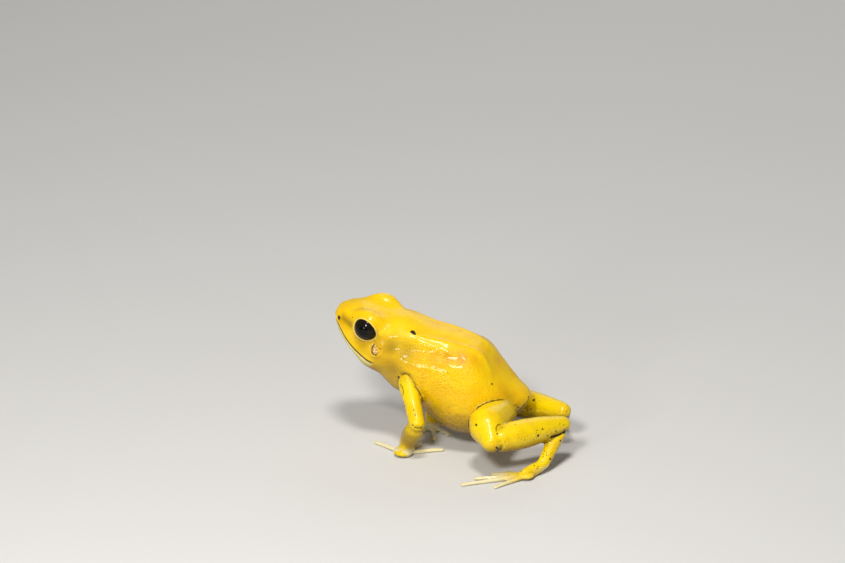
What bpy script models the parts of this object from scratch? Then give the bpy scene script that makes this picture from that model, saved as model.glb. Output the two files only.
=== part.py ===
"""A golden poison frog at life size, standing still on its hands and feet.

The frog faces -X with its back to +Z. Sizes are in millimetres, MM turns them into metres.
Places on the trunk and limbs are measured back and up from the floor under the vent, and the
whole frog is moved at the end so that the origin lies on the floor under its middle.
"""

import math

import bmesh
import bpy
from mathutils import Matrix, Vector
from mathutils.bvhtree import BVHTree

MM = 0.001
GAP = 0.3
UPWARD = Vector((0.0, 0.0, 1.0))
SIDEWAYS = Vector((0.0, 1.0, 0.0))
FRONTWARD = Vector((1.0, 0.0, 0.0))

# How the body is held, in degrees: the head turned to the right and tipped up, the whole
# trunk leaning a little to the left.
HEAD_TURN = 8.0
HEAD_PITCH = 20.0
BODY_LEAN = 5.0
LEAN_HEIGHT = 14.0
TURN_START = -20.0
TURN_END = -28.0

# Head: places are (forward, left, up) from the midpoint between the eyes.
EYES_MIDPOINT = Vector((-34.0, 0.0, 25.4))
EYE_FORWARD = -0.4
EYE_OFFSET = 4.6
EYE_RADIUS = 2.75
LID_THICKNESS = 0.3
EYE_OPENING = (2.4, 2.1)
EYE_GAZE = (0.0, 1.0, 0.2)
EYE_SLANT = 16.0
BROW = (-0.6, 3.8, 0.4)
BROW_RADII = (4.6, 2.7, 3.1)
NOSTRIL = (6.2, 2.7, -1.45)
NOSTRIL_RADIUS = 0.33
EARDRUM = (-4.2, -2.3)
EARDRUM_RADII = (1.1, 1.4)
EARDRUM_RIM = 0.24
EARDRUM_DEPTH = 0.3
NECK = -7.0

# Mouth line from the front to its corner, and the back edge of the jaw below it, as
# (forward, up) places; the lips follow it to an angle each side of straight ahead.
MOUTH = [
    (10.0, -2.15), (7.5, -2.3), (5.6, -2.7), (4.1, -3.4),
    (2.6, -4.1), (0.8, -4.6), (-1.8, -5.05), (-4.3, -5.75),
]
JAW_BACK = [(-4.7, -7.6), (-5.6, -13.0)]
LIP_RADIUS = 0.38
LIP_SUNK = 0.45
LIP_TAPER = 0.6
LIP_CENTRE = 1.0
LIP_REACH = 128.0
LIP_STEPS = 18
BLOCK_REACH = 12.0
SIDES = {"left": 1.0, "right": -1.0}

# Limbs: (share of the length, half width, half height) from root to end.
UPPER_ARM = [(0.0, 2.2, 2.2), (0.5, 1.85, 1.85), (1.0, 1.75, 1.75)]
FOREARM = [(0.0, 1.6, 1.6), (0.3, 2.1, 2.1), (0.65, 2.1, 2.0), (1.0, 1.7, 1.5)]
WRIST = [(0.0, 1.7, 1.5), (1.0, 1.7, 1.3)]
UPPER_THIGH = [(0.0, 3.0, 3.0), (0.5, 3.6, 3.4)]
LOWER_THIGH = [(0.0, 4.1, 4.0), (0.55, 3.4, 3.4), (1.0, 2.35, 2.35)]
SHIN = [(0.0, 2.2, 2.2), (0.3, 3.15, 3.15), (0.65, 2.85, 2.85), (0.85, 2.3, 2.3), (1.0, 1.8, 1.8)]
TARSUS = [(0.0, 1.75, 1.75), (0.45, 1.6, 1.6), (1.0, 1.3, 1.2)]
SOLE = [(0.5, 1.35, 1.0), (1.0, 1.5, 0.8)]

# How the end of a limb is rounded: (distance beyond the last row, share of its width).
END_ROWS = [(1.0, 0.02), (0.71, 0.71)]

# Palm and ball of the foot: radius and half height.
PALM_SIZE = (2.1, 0.95)
BALL_SIZE = (1.8, 0.8)

# Fingers and toes: how far from the middle of the palm they start, and (share of length,
# half width, half height) from root to tip, with a small disc at the tip.
DIGIT_START = 0.9
DIGIT = [
    (0.0, 0.6, 0.55), (0.4, 0.48, 0.46), (0.75, 0.42, 0.38),
    (0.88, 0.52, 0.34), (0.96, 0.62, 0.3),
]

# Finishes: colour, roughness, and which part has which.
FINISHES = {
    "body_yellow": ((0.9, 0.56, 0.01), 0.35),
    "limb_yellow": ((0.86, 0.62, 0.02), 0.35),
    "digit_cream": ((0.8, 0.66, 0.2), 0.4),
    "eye_black": ((0.01, 0.008, 0.006), 0.08),
}
FINISH_OF = {
    "head": "body_yellow", "lower_jaw": "body_yellow", "torso": "body_yellow", "eye": "eye_black",
    "upper_arm": "limb_yellow", "forearm": "limb_yellow", "hand": "digit_cream",
    "thigh": "limb_yellow", "shin": "limb_yellow", "foot": "digit_cream",
}

# How finely the shapes are divided: points round a section, rings from one row to the next.
TRUNK_SIDES = 30
TRUNK_RINGS = 2
LIMB_SIDES = 14
LIMB_RINGS = 2
DIGIT_SIDES = 10
LIP_SIDES = 8
PAD_RINGS = 8
EYE_SHAPE = (20, 12)
LID_SHAPE = (16, 10)
SMALL_SHAPE = (10, 8)
RIM_STEPS = 16
RIM_SIDES = 6
WELD = 0.0002
SMOOTH_ANGLE = 40.0


def turned(point):
    """A point of the straight trunk once the neck is bent to the right."""
    x, y, z = point
    if x >= TURN_START:
        return Vector((x, y, z))
    full = math.radians(HEAD_TURN)
    radius = (TURN_START - TURN_END) / full
    angle = min((TURN_START - x) / radius, full)
    beyond = max(TURN_END - x, 0.0)
    return Vector((
        TURN_START - (radius - y) * math.sin(angle) - beyond * math.cos(angle),
        radius - (radius - y) * math.cos(angle) + beyond * math.sin(angle),
        z,
    ))


def posed(point):
    """A point of the straight trunk, in metres, once the neck is bent and the body leans."""
    pivot = Vector((0.0, 0.0, LEAN_HEIGHT))
    lean = Matrix.Rotation(math.radians(BODY_LEAN), 3, "X")
    return (lean @ (turned(point) - pivot) + pivot) * MM


def head_straight(forward, left, up):
    """A place on the head while the neck is straight and the body upright."""
    pitch = math.radians(HEAD_PITCH)
    return EYES_MIDPOINT + Vector((
        up * math.sin(pitch) - forward * math.cos(pitch),
        -left,
        up * math.cos(pitch) + forward * math.sin(pitch),
    ))


def head_place(forward, left, up):
    """A place on the posed head, in metres."""
    return posed(head_straight(forward, left, up))


def head_station(forward, top, bottom, half_width, widest, over, under):
    """A trunk station given in the head's own directions."""
    high = head_straight(forward, 0.0, top)
    low = head_straight(forward, 0.0, bottom)
    return (high.x, high.z, low.x, low.z, half_width, widest, over, under)


# Trunk stations from snout to vent: top x and z, bottom x and z, half width, level of the
# widest place as a share of the height, and how square the section is above and below it.
TRUNK = [
    head_station(7.95, -1.9, -2.3, 0.0, 0.5, 2.0, 2.0),
    head_station(7.75, -1.1, -3.2, 1.65, 0.5, 2.3, 2.3),
    head_station(7.1, -0.45, -4.0, 2.65, 0.45, 2.5, 2.5),
    head_station(5.6, 0.6, -5.0, 3.8, 0.4, 2.6, 2.6),
    head_station(3.4, 1.7, -5.9, 5.2, 0.37, 2.4, 2.6),
    head_station(1.0, 2.5, -6.9, 6.2, 0.35, 2.3, 2.5),
    head_station(-1.3, 2.9, -8.0, 6.9, 0.35, 2.2, 2.4),
    head_station(-3.8, 3.4, -9.2, 7.1, 0.38, 2.2, 2.3),
    (-26.3, 27.2, -31.0, 14.8, 6.9, 0.42, 2.2, 2.2),
    (-21.5, 25.4, -27.4, 11.0, 7.4, 0.46, 2.2, 2.1),
    (-16.5, 24.5, -22.8, 6.9, 8.4, 0.46, 2.2, 2.0),
    (-12.5, 23.3, -18.0, 3.3, 9.1, 0.46, 2.2, 2.0),
    (-9.6, 21.7, -13.0, 2.2, 9.1, 0.46, 2.2, 2.0),
    (-7.0, 18.2, -8.4, 3.4, 8.0, 0.48, 2.2, 2.0),
    (-3.9, 14.7, -4.5, 6.2, 6.0, 0.5, 2.1, 2.0),
    (-1.2, 12.6, -1.3, 8.9, 3.9, 0.5, 2.0, 2.0),
    (0.0, 11.3, 0.0, 11.1, 0.0, 0.5, 2.0, 2.0),
]

# The fold along each side of the back and the hollow under it: how far it stands out or lies
# in, its (angle down from the top, spread), and its (middle, half length) along the trunk.
RIDGE_HEIGHT = 0.6
RIDGE_ANGLE = (36.0, 12.0)
RIDGE_REACH = (-17.0, 11.0)
HOLLOW_DEPTH = 0.35
HOLLOW_ANGLE = (66.0, 14.0)
HOLLOW_REACH = (-19.0, 7.0)

# Joints of the limbs. A digit is (heading, length), the heading turned left from straight
# ahead when it is positive and right when it is negative, as seen from above.
ARMS = {
    "left": {
        "shoulder": (-25.2, -5.6, 15.2), "elbow": (-21.0, -12.5, 8.1),
        "wrist": (-23.7, -10.5, 2.6), "palm": (-24.4, -11.1, 0.8),
        "fingers": ((-150.0, 8.8), (-112.0, 6.2), (-70.0, 7.2), (-29.0, 8.4)),
    },
    "right": {
        "shoulder": (-25.2, 6.4, 16.2), "elbow": (-21.0, 11.5, 8.5),
        "wrist": (-22.8, 4.9, 2.7), "palm": (-22.2, 3.3, 0.8),
        "fingers": ((150.0, 5.2), (110.0, 6.4), (60.0, 7.4), (20.0, 5.4)),
    },
}
LEGS = {
    "left": {
        "hip": (-4.6, -3.4, 9.6), "mid_thigh": (-5.8, -12.5, 9.9), "knee": (-3.7, -17.0, 8.3),
        "heel": (8.1, -4.4, 8.2),
        "ankle": (5.9, -11.2, 2.0), "ball": (3.3, -15.2, 0.8),
        "toes": ((-12.0, 4.8), (4.0, 7.4), (20.0, 11.0), (32.0, 14.4), (54.0, 8.6)),
    },
    "right": {
        "hip": (-5.5, 3.4, 9.4), "mid_thigh": (-10.2, 9.8, 6.8), "knee": (-11.5, 14.0, 3.6),
        "heel": (6.0, 3.5, 7.6),
        "ankle": (4.0, 10.0, 2.0), "ball": (1.2, 12.6, 0.8),
        "toes": ((0.0, 5.0), (-20.0, 7.5), (-33.0, 11.0), (-45.0, 13.5), (-66.0, 8.6)),
    },
}


def on_curve(rows, place):
    """The row at a place on a smooth curve through the rows, where place counts rows."""
    last = len(rows) - 1
    low = min(int(place), last - 1)
    t = place - low
    b, c = rows[low], rows[low + 1]
    a = rows[low - 1] if low > 0 else [2 * p - q for p, q in zip(b, c)]
    d = rows[low + 2] if low + 2 <= last else [2 * p - q for p, q in zip(c, b)]
    return [
        0.5 * (2 * q + (r - p) * t + (2 * p - 5 * q + 4 * r - s) * t * t
               + (3 * q - p - 3 * r + s) * t ** 3)
        for p, q, r, s in zip(a, b, c, d)
    ]


def add_object(name, bm):
    """Make an object of the surface, facing outwards."""
    bmesh.ops.recalc_face_normals(bm, faces=bm.faces)
    if bm.calc_volume(signed=True) < 0.0:
        bmesh.ops.reverse_faces(bm, faces=bm.faces)
    mesh = bpy.data.meshes.new(name)
    bm.to_mesh(mesh)
    bm.free()
    obj = bpy.data.objects.new(name, mesh)
    bpy.context.scene.collection.objects.link(obj)
    return obj


def shaped(name, place, sides, rings):
    """A closed surface: a sphere whose points move to place(along from 0 to 1, angle around)."""
    bm = bmesh.new()
    bmesh.ops.create_uvsphere(bm, u_segments=sides, v_segments=rings, radius=1.0)
    for vert in bm.verts:
        along = math.acos(max(-1.0, min(1.0, vert.co.z))) / math.pi
        vert.co = place(along, math.atan2(vert.co.y, vert.co.x))
    return add_object(name, bm)


def ball(name, centre, radius, sides, rings):
    """A sphere about a centre given in metres."""
    bm = bmesh.new()
    bmesh.ops.create_uvsphere(bm, u_segments=sides, v_segments=rings, radius=radius * MM,
                              matrix=Matrix.Translation(centre))
    return add_object(name, bm)


def copied(obj, name, growth=0.0):
    """A copy of the object, its surface moved out by growth."""
    bm = bmesh.new()
    bm.from_mesh(obj.data)
    moved = [vert.normal * vert.calc_shell_factor() * growth * MM for vert in bm.verts]
    for vert, step in zip(bm.verts, moved):
        vert.co += step
    return add_object(name, bm)


def parted(obj, name, point, normal):
    """The piece of the object behind a plane, closed with a flat face."""
    bm = bmesh.new()
    bm.from_mesh(obj.data)
    bmesh.ops.bisect_plane(bm, geom=bm.verts[:] + bm.edges[:] + bm.faces[:], dist=1e-7,
                           plane_co=point, plane_no=normal, clear_outer=True)
    bmesh.ops.edgeloop_fill(bm, edges=[edge for edge in bm.edges if edge.is_boundary])
    return add_object(name, bm)


def combined(obj, operation, others):
    """Apply one Boolean operation with the other objects, which are used up."""
    if not others:
        return obj
    group = bpy.data.collections.new(operation.lower())
    bpy.context.scene.collection.children.link(group)
    for other in others:
        group.objects.link(other)
    step = obj.modifiers.new(operation.title(), "BOOLEAN")
    step.operation = operation
    step.operand_type = "COLLECTION"
    step.collection = group
    step.solver = "EXACT"
    step.use_self = False
    graph = bpy.context.evaluated_depsgraph_get()
    mesh = bpy.data.meshes.new_from_object(obj.evaluated_get(graph))
    obj.modifiers.clear()
    obj.data = mesh
    for other in others:
        bpy.data.objects.remove(other)
    bpy.data.collections.remove(group)
    return obj


def largest_piece(obj):
    """Drop every loose piece of the surface but the largest."""
    bm = bmesh.new()
    bm.from_mesh(obj.data)
    bmesh.ops.remove_doubles(bm, verts=bm.verts, dist=WELD * MM)
    bmesh.ops.dissolve_degenerate(bm, edges=bm.edges, dist=WELD * MM)
    waiting = set(bm.verts)
    pieces = []
    while waiting:
        piece = set()
        reached = [waiting.pop()]
        while reached:
            vert = reached.pop()
            piece.add(vert)
            for edge in vert.link_edges:
                other = edge.other_vert(vert)
                if other in waiting:
                    waiting.remove(other)
                    reached.append(other)
        pieces.append(piece)
    pieces.sort(key=len, reverse=True)
    for piece in pieces[1:]:
        bmesh.ops.delete(bm, geom=list(piece), context="VERTS")
    bm.to_mesh(obj.data)
    bm.free()
    return obj


def node(name, pieces, cutters):
    """One node of the model: its pieces fused, then the cutters taken away."""
    obj = combined(pieces[0], "UNION", pieces[1:])
    obj = largest_piece(combined(obj, "DIFFERENCE", cutters))
    obj.name = name
    obj.data.name = name
    return obj


def bent(value, square):
    """The cosine or sine of an angle, bent so that the section is a superellipse."""
    return math.copysign(abs(value) ** (2.0 / square), value)


def swell(value, centre, spread):
    """A smooth bump: 1 at the centre, falling to nothing a few spreads away."""
    return math.exp(-((value - centre) / spread) ** 2)


def folds(back, from_top):
    """How far the skin stands out at a place along the trunk and an angle down from its top."""
    ridge = RIDGE_HEIGHT * swell(from_top, *RIDGE_ANGLE) * swell(back, *RIDGE_REACH)
    hollow = HOLLOW_DEPTH * swell(from_top, *HOLLOW_ANGLE) * swell(back, *HOLLOW_REACH)
    return ridge - hollow


def trunk():
    """Head and body in one surface, from the snout to the vent."""
    def place(along, around):
        row = on_curve(TRUNK, along * (len(TRUNK) - 1))
        top_x, top_z, bottom_x, bottom_z, half, widest, over, under = row
        square = over if math.sin(around) > 0 else under
        side = bent(math.cos(around), square)
        rise = bent(math.sin(around), square)
        level = widest + (1 - widest) * rise if rise > 0 else widest * (1 + rise)
        fold = folds(0.5 * (top_x + bottom_x), abs(math.degrees(around) - 90.0))
        half += fold * abs(side)
        top_z += fold * rise
        return posed((
            bottom_x + (top_x - bottom_x) * level,
            max(half, 0.0) * side,
            bottom_z + (top_z - bottom_z) * level,
        ))

    return shaped("trunk", place, TRUNK_SIDES, TRUNK_RINGS * (len(TRUNK) - 1))


def stretch(start, end, widths):
    """Rows of a limb from one joint to the next."""
    return [(*start.lerp(end, share), wide, high) for share, wide, high in widths]


def rounded(row, neighbour):
    """The two rows that round off the end of a limb at a row, the outermost first."""
    here = Vector(row[:3])
    way = (here - Vector(neighbour[:3])).normalized()
    return [(*(here + way * out * min(row[3:])), row[3] * share, row[4] * share)
            for out, share in END_ROWS]


def limb(name, rows, up, sides=LIMB_SIDES, rings=LIMB_RINGS):
    """A round-ended limb through rows of (x, y, z, half width, half height)."""
    rows = rounded(rows[0], rows[1]) + rows + rounded(rows[-1], rows[-2])[::-1]
    top = len(rows) - 1

    def place(along, around):
        here = on_curve(rows, along * top)
        ahead = Vector(on_curve(rows, min(along * top + 0.05, top))[:3])
        behind = Vector(on_curve(rows, max(along * top - 0.05, 0.0))[:3])
        tangent = (ahead - behind).normalized()
        side = up.cross(tangent).normalized()
        rise = tangent.cross(side)
        point = (Vector(here[:3]) + side * max(here[3], 0.0) * math.cos(around)
                 + rise * max(here[4], 0.0) * math.sin(around))
        point.z = max(point.z, 0.0)
        return point * MM

    return shaped(name, place, sides, rings * top)


def pad(name, centre, half_width, half_height):
    """A flattened round pad that rests on the floor."""
    def place(along, around):
        wide = half_width * math.sin(math.pi * along)
        height = centre[2] + half_height * math.cos(math.pi * along)
        return Vector((centre[0] + wide * math.cos(around), centre[1] + wide * math.sin(around),
                       max(height, 0.0))) * MM

    return shaped(name, place, LIMB_SIDES, PAD_RINGS)


def digit(name, root, heading, length):
    """A finger or toe lying on the floor, from the middle of the palm or ball."""
    turn = math.radians(heading)
    way = Vector((-math.cos(turn), -math.sin(turn), 0.0))
    base = Vector((root[0], root[1], 0.0)) + way * DIGIT_START
    tip = Vector((root[0], root[1], 0.0)) + way * length
    rows = [(x, y, high, wide, high) for x, y, _, wide, high in stretch(base, tip, DIGIT)]
    return limb(name, rows, UPWARD, sides=DIGIT_SIDES, rings=1)


def arm(side, joints):
    """Upper arm, forearm, and the pieces of the hand, from the shoulder down."""
    shoulder = Vector(joints["shoulder"])
    elbow = Vector(joints["elbow"])
    wrist = Vector(joints["wrist"])
    palm = Vector(joints["palm"])
    upper = limb(f"upper_arm_{side}", stretch(shoulder, elbow, UPPER_ARM), UPWARD)
    fore = limb(f"forearm_{side}", stretch(elbow, wrist, FOREARM), SIDEWAYS)
    hand = [
        pad(f"palm_{side}", palm, *PALM_SIZE),
        limb(f"wrist_{side}", stretch(wrist, palm, WRIST), FRONTWARD),
    ]
    for count, (heading, length) in enumerate(joints["fingers"], 1):
        hand.append(digit(f"finger_{count}_{side}", palm, heading, length))
    return upper, fore, hand


def leg(side, joints):
    """Thigh, shin, and the pieces of the foot, from the hip down."""
    hip = Vector(joints["hip"])
    middle = Vector(joints["mid_thigh"])
    knee = Vector(joints["knee"])
    heel = Vector(joints["heel"])
    ankle = Vector(joints["ankle"])
    sole = Vector(joints["ball"])
    thigh_rows = stretch(hip, middle, UPPER_THIGH) + stretch(middle, knee, LOWER_THIGH)
    thigh = limb(f"thigh_{side}", thigh_rows, UPWARD)
    shin = limb(f"shin_{side}", stretch(knee, heel, SHIN), UPWARD)
    foot_rows = stretch(heel, ankle, TARSUS) + stretch(ankle, sole, SOLE)
    foot = [limb(f"sole_{side}", foot_rows, SIDEWAYS), pad(f"ball_{side}", sole, *BALL_SIZE)]
    for count, (heading, length) in enumerate(joints["toes"], 1):
        foot.append(digit(f"toe_{count}_{side}", sole, heading, length))
    return thigh, shin, foot


def mouth_height(forward):
    """Height of the mouth line on the head."""
    for (front, high), (back, low) in zip(MOUTH, MOUTH[1:]):
        if forward >= back:
            return low + (high - low) * (forward - back) / (front - back)
    return MOUTH[-1][1]


def surface_at(tree, origin, way):
    """The point and normal where a ray from a place in the head, going its way, leaves the skin."""
    start = head_place(*origin)
    direction = (head_place(*(a + b for a, b in zip(origin, way))) - start).normalized()
    point, normal, _, _ = tree.ray_cast(start, direction)
    return point, normal


def lip(name, tree, above):
    """A rounded rim along the mouth line, from one corner round the snout to the other."""
    rows = []
    for step in range(LIP_STEPS + 1):
        share = 2.0 * step / LIP_STEPS - 1.0
        swing = math.radians(LIP_REACH) * share
        way = (math.cos(swing), math.sin(swing), 0.0)
        height = mouth_height(LIP_CENTRE)
        for _ in range(6):
            point, _ = surface_at(tree, (LIP_CENTRE, 0.0, height), way)
            height = mouth_height(on_head(point).x) + above
        inward = (head_place(LIP_CENTRE, 0.0, height) - point).normalized()
        radius = LIP_RADIUS * (1.0 - LIP_TAPER * share ** 4)
        rows.append((*(point / MM + inward * LIP_RADIUS * LIP_SUNK), radius, radius))
    return limb(name, rows, UPWARD, sides=LIP_SIDES, rings=1)


def on_head(point):
    """A point in metres measured from between the eyes: forward, left, up."""
    origin = head_place(0, 0, 0)
    axes = (head_place(1, 0, 0), head_place(0, 1, 0), head_place(0, 0, 1))
    return Vector([(point - origin).dot((axis - origin).normalized()) / MM for axis in axes])


def side_block(name, outline):
    """A block reaching across the head, its outline given as (forward, up) places."""
    bm = bmesh.new()
    face = bm.faces.new([bm.verts.new(head_place(f, -BLOCK_REACH, u)) for f, u in outline])
    across = head_place(0, BLOCK_REACH, 0) - head_place(0, -BLOCK_REACH, 0)
    moved = bmesh.ops.extrude_face_region(bm, geom=[face])["geom"]
    corners = [item for item in moved if isinstance(item, bmesh.types.BMVert)]
    bmesh.ops.translate(bm, vec=across, verts=corners)
    return add_object(name, bm)


def below_mouth(growth):
    """A block under the mouth line, ending at the throat behind the jaw."""
    back = [(f - growth, u) for f, u in JAW_BACK]
    return side_block("below_mouth", [(f, u + growth) for f, u in MOUTH] + back
                      + [(MOUTH[0][0], JAW_BACK[-1][1])])


def facing(way, along):
    """The turn that points +Z one way, with +X as near as can be to another."""
    third = way.normalized()
    second = third.cross(along).normalized()
    return Matrix((second.cross(third), second, third)).transposed().to_4x4()


def eyeball(side, sign):
    """The eyeball, in a node of its own."""
    ball(f"eye_{side}", head_place(EYE_FORWARD, sign * EYE_OFFSET, 0.0), EYE_RADIUS, *EYE_SHAPE)


def eyelid(side, sign):
    """The lid round the eye and the brow that it grows from, and the cutters that open it."""
    centre = head_place(EYE_FORWARD, sign * EYE_OFFSET, 0.0)
    middle = head_place(0, 0, 0)
    lid = ball(f"lid_{side}", centre, EYE_RADIUS + GAP + LID_THICKNESS, *LID_SHAPE)
    socket = ball(f"socket_{side}", centre, EYE_RADIUS + GAP, *LID_SHAPE)
    bm = bmesh.new()
    raised = head_place(0, 0, 1) - middle
    ahead = head_place(1, 0, 0) - middle
    middle_of_brow = head_place(BROW[0], sign * BROW[1], BROW[2])
    swelling = (Matrix.Translation(middle_of_brow) @ facing(raised, ahead)
                @ Matrix.Diagonal((*(radius * MM for radius in BROW_RADII), 1.0)))
    bmesh.ops.create_uvsphere(bm, u_segments=LID_SHAPE[0], v_segments=LID_SHAPE[1], radius=1.0,
                              matrix=swelling)
    brow = add_object(f"brow_{side}", bm)
    bm = bmesh.new()
    gaze = head_place(EYE_GAZE[0], sign * EYE_GAZE[1], EYE_GAZE[2]) - middle
    backward = head_place(-1, 0, -math.tan(math.radians(EYE_SLANT))) - middle
    wide, tall = EYE_OPENING
    rim = math.sqrt((EYE_RADIUS + GAP) ** 2 - wide * tall)
    widening = (Matrix.Translation(centre) @ facing(gaze, backward)
                @ Matrix.Diagonal((wide * MM, tall * MM, rim * MM, 1.0))
                @ Matrix.Translation((0, 0, 1)))
    bmesh.ops.create_cone(bm, cap_ends=True, segments=EYE_SHAPE[0], radius1=0.1, radius2=2.0,
                          depth=2.0, matrix=widening)
    return [lid, brow], [socket, add_object(f"opening_{side}", bm)]


def eardrum_rim(side, sign, tree):
    """The raised ring round the eardrum and the shallow hollow inside it."""
    forward, high = EARDRUM
    point, normal = surface_at(tree, (forward, 0.0, high), (0.0, sign, 0.0))
    on_skin = Matrix.Translation(point) @ facing(normal, head_place(1, 0, 0) - head_place(0, 0, 0))
    wide, tall = EARDRUM_RADII
    bm = bmesh.new()
    upright = Matrix.Translation((wide * MM, 0, 0)) @ Matrix.Rotation(math.pi / 2, 4, "X")
    bmesh.ops.create_circle(bm, segments=RIM_SIDES, radius=EARDRUM_RIM * MM, matrix=upright)
    bmesh.ops.spin(bm, geom=bm.verts[:] + bm.edges[:], cent=(0, 0, 0), axis=(0, 0, 1),
                   angle=2 * math.pi, steps=RIM_STEPS, use_merge=True)
    bmesh.ops.transform(bm, verts=bm.verts,
                        matrix=on_skin @ Matrix.Diagonal((1.0, tall / wide, 1.0, 1.0)))
    ring = add_object(f"eardrum_rim_{side}", bm)
    bm = bmesh.new()
    hollow = Matrix.Diagonal((wide * MM, tall * MM, EARDRUM_DEPTH * MM, 1.0))
    bmesh.ops.create_uvsphere(bm, u_segments=RIM_STEPS, v_segments=RIM_SIDES, radius=1.0,
                              matrix=on_skin @ hollow)
    return ring, add_object(f"eardrum_hollow_{side}", bm)


def nostril(side, sign, tree):
    """The cutter of one nostril, on the skin of the snout."""
    forward, across, high = NOSTRIL
    point, _ = surface_at(tree, (forward - across, 0.0, high), (across, sign * across, 0.0))
    return ball(f"nostril_{side}", point, NOSTRIL_RADIUS, *SMALL_SHAPE)


def head_nodes(whole, tree):
    """Head, lower jaw and eyes, parted from the trunk by a cut across the neck."""
    forward = (head_place(1, 0, 0) - head_place(0, 0, 0)).normalized()
    front = parted(whole, "head", head_place(NECK + GAP, 0, 0), -forward)
    jaw = combined(copied(front, "jaw"), "UNION", [lip("lower_lip", tree, -LIP_RADIUS)])
    node("lower_jaw", [combined(jaw, "INTERSECT", [below_mouth(0.0)])], [])
    pieces = [front, lip("upper_lip", tree, GAP + LIP_RADIUS)]
    cutters = [below_mouth(GAP)]
    for side, sign in SIDES.items():
        eyeball(side, sign)
        lids, openings = eyelid(side, sign)
        ring, hollow = eardrum_rim(side, sign, tree)
        pieces += [*lids, ring]
        cutters += [*openings, hollow, nostril(side, sign, tree)]
    node("head", pieces, cutters)


def material(name, colour, roughness):
    """A plain finish for one kind of surface."""
    finish = bpy.data.materials.new(name)
    finish.use_nodes = True
    shader = finish.node_tree.nodes["Principled BSDF"]
    shader.inputs["Base Color"].default_value = (*colour, 1.0)
    shader.inputs["Roughness"].default_value = roughness
    shader.inputs["Metallic"].default_value = 0.0
    return finish


def finish_nodes():
    """Give every node its finish, gather them, and put the origin on the floor under the middle."""
    frog = bpy.data.collections.new("golden_poison_frog")
    bpy.context.scene.collection.children.link(frog)
    finishes = {name: material(name, *values) for name, values in FINISHES.items()}
    nodes = [obj for obj in bpy.data.objects if obj.type == "MESH"]
    points = [vert.co for obj in nodes for vert in obj.data.vertices]
    middle = Vector([
        (max(p.x for p in points) + min(p.x for p in points)) / 2,
        (max(p.y for p in points) + min(p.y for p in points)) / 2,
        0.0,
    ])
    for obj in nodes:
        obj.data.transform(Matrix.Translation(-middle))
        obj.data.shade_smooth()
        obj.data.set_sharp_from_angle(angle=math.radians(SMOOTH_ANGLE))
        obj.data.materials.clear()
        part = obj.name.removesuffix("_left").removesuffix("_right")
        obj.data.materials.append(finishes[FINISH_OF[part]])
        bpy.context.scene.collection.objects.unlink(obj)
        frog.objects.link(obj)


def main():
    """Build every node."""
    for obj in list(bpy.data.objects):
        bpy.data.objects.remove(obj)
    whole = trunk()
    tree = BVHTree.FromPolygons(
        [vert.co for vert in whole.data.vertices],
        [face.vertices[:] for face in whole.data.polygons],
    )
    head_nodes(whole, tree)
    backward = (head_place(0, 0, 0) - head_place(1, 0, 0)).normalized()
    parted(whole, "torso", head_place(NECK, 0, 0), -backward)
    for side in SIDES:
        upper, fore, hand = arm(side, ARMS[side])
        node(f"hand_{side}", hand, [copied(fore, "forearm_space", GAP)])
        node(f"forearm_{side}", [fore], [copied(upper, "upper_arm_space", GAP)])
        node(f"upper_arm_{side}", [upper], [copied(whole, "trunk_space", GAP)])
        thigh, shin, foot = leg(side, LEGS[side])
        node(f"foot_{side}", foot, [copied(shin, "shin_space", GAP)])
        node(f"shin_{side}", [shin], [copied(thigh, "thigh_space", GAP)])
        node(f"thigh_{side}", [thigh], [copied(whole, "trunk_space", GAP)])
    bpy.data.objects.remove(whole)
    finish_nodes()


if __name__ == "__main__":
    main()
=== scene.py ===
"""The looks of a golden poison frog: one skin over its solids, its eyes, a floor and light.

Sizes are in millimetres unless a name says otherwise. Places on the body are measured from
the floor under the vent, and places on the head from the midpoint between the eyes.
"""

import logging
import math
from collections.abc import Iterable
from dataclasses import dataclass
from enum import Enum
from functools import reduce

import bmesh
import bpy
import numpy as np
from mathutils import Matrix, Vector, noise
from mathutils.bvhtree import BVHTree

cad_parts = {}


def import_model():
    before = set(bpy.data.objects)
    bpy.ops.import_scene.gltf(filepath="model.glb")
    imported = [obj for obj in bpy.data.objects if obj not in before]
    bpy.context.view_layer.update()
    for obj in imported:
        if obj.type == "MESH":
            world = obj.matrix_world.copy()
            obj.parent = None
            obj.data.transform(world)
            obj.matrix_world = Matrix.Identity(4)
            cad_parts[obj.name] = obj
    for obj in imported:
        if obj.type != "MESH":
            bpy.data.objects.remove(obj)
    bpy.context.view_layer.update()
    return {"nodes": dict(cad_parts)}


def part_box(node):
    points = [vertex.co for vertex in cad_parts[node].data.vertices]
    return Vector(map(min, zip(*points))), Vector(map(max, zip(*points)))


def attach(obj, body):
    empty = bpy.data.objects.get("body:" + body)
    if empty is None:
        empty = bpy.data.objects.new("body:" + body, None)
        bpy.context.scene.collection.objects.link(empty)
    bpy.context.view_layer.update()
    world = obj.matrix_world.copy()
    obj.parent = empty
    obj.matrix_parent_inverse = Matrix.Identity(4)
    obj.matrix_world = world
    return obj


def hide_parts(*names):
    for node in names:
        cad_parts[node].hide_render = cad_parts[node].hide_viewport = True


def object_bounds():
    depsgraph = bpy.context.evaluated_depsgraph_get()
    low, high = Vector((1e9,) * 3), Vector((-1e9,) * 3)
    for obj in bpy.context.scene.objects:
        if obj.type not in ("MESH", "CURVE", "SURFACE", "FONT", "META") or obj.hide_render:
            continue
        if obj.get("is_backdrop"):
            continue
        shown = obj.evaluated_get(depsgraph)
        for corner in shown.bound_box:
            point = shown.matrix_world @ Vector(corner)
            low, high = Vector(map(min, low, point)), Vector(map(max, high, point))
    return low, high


MM = 0.001
LOG = logging.getLogger("golden_poison_frog")

# Distances kept on the mesh are cut off here
FAR = 20.0

Colour = tuple[float, float, float]
Place = tuple[float, float, float]
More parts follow.
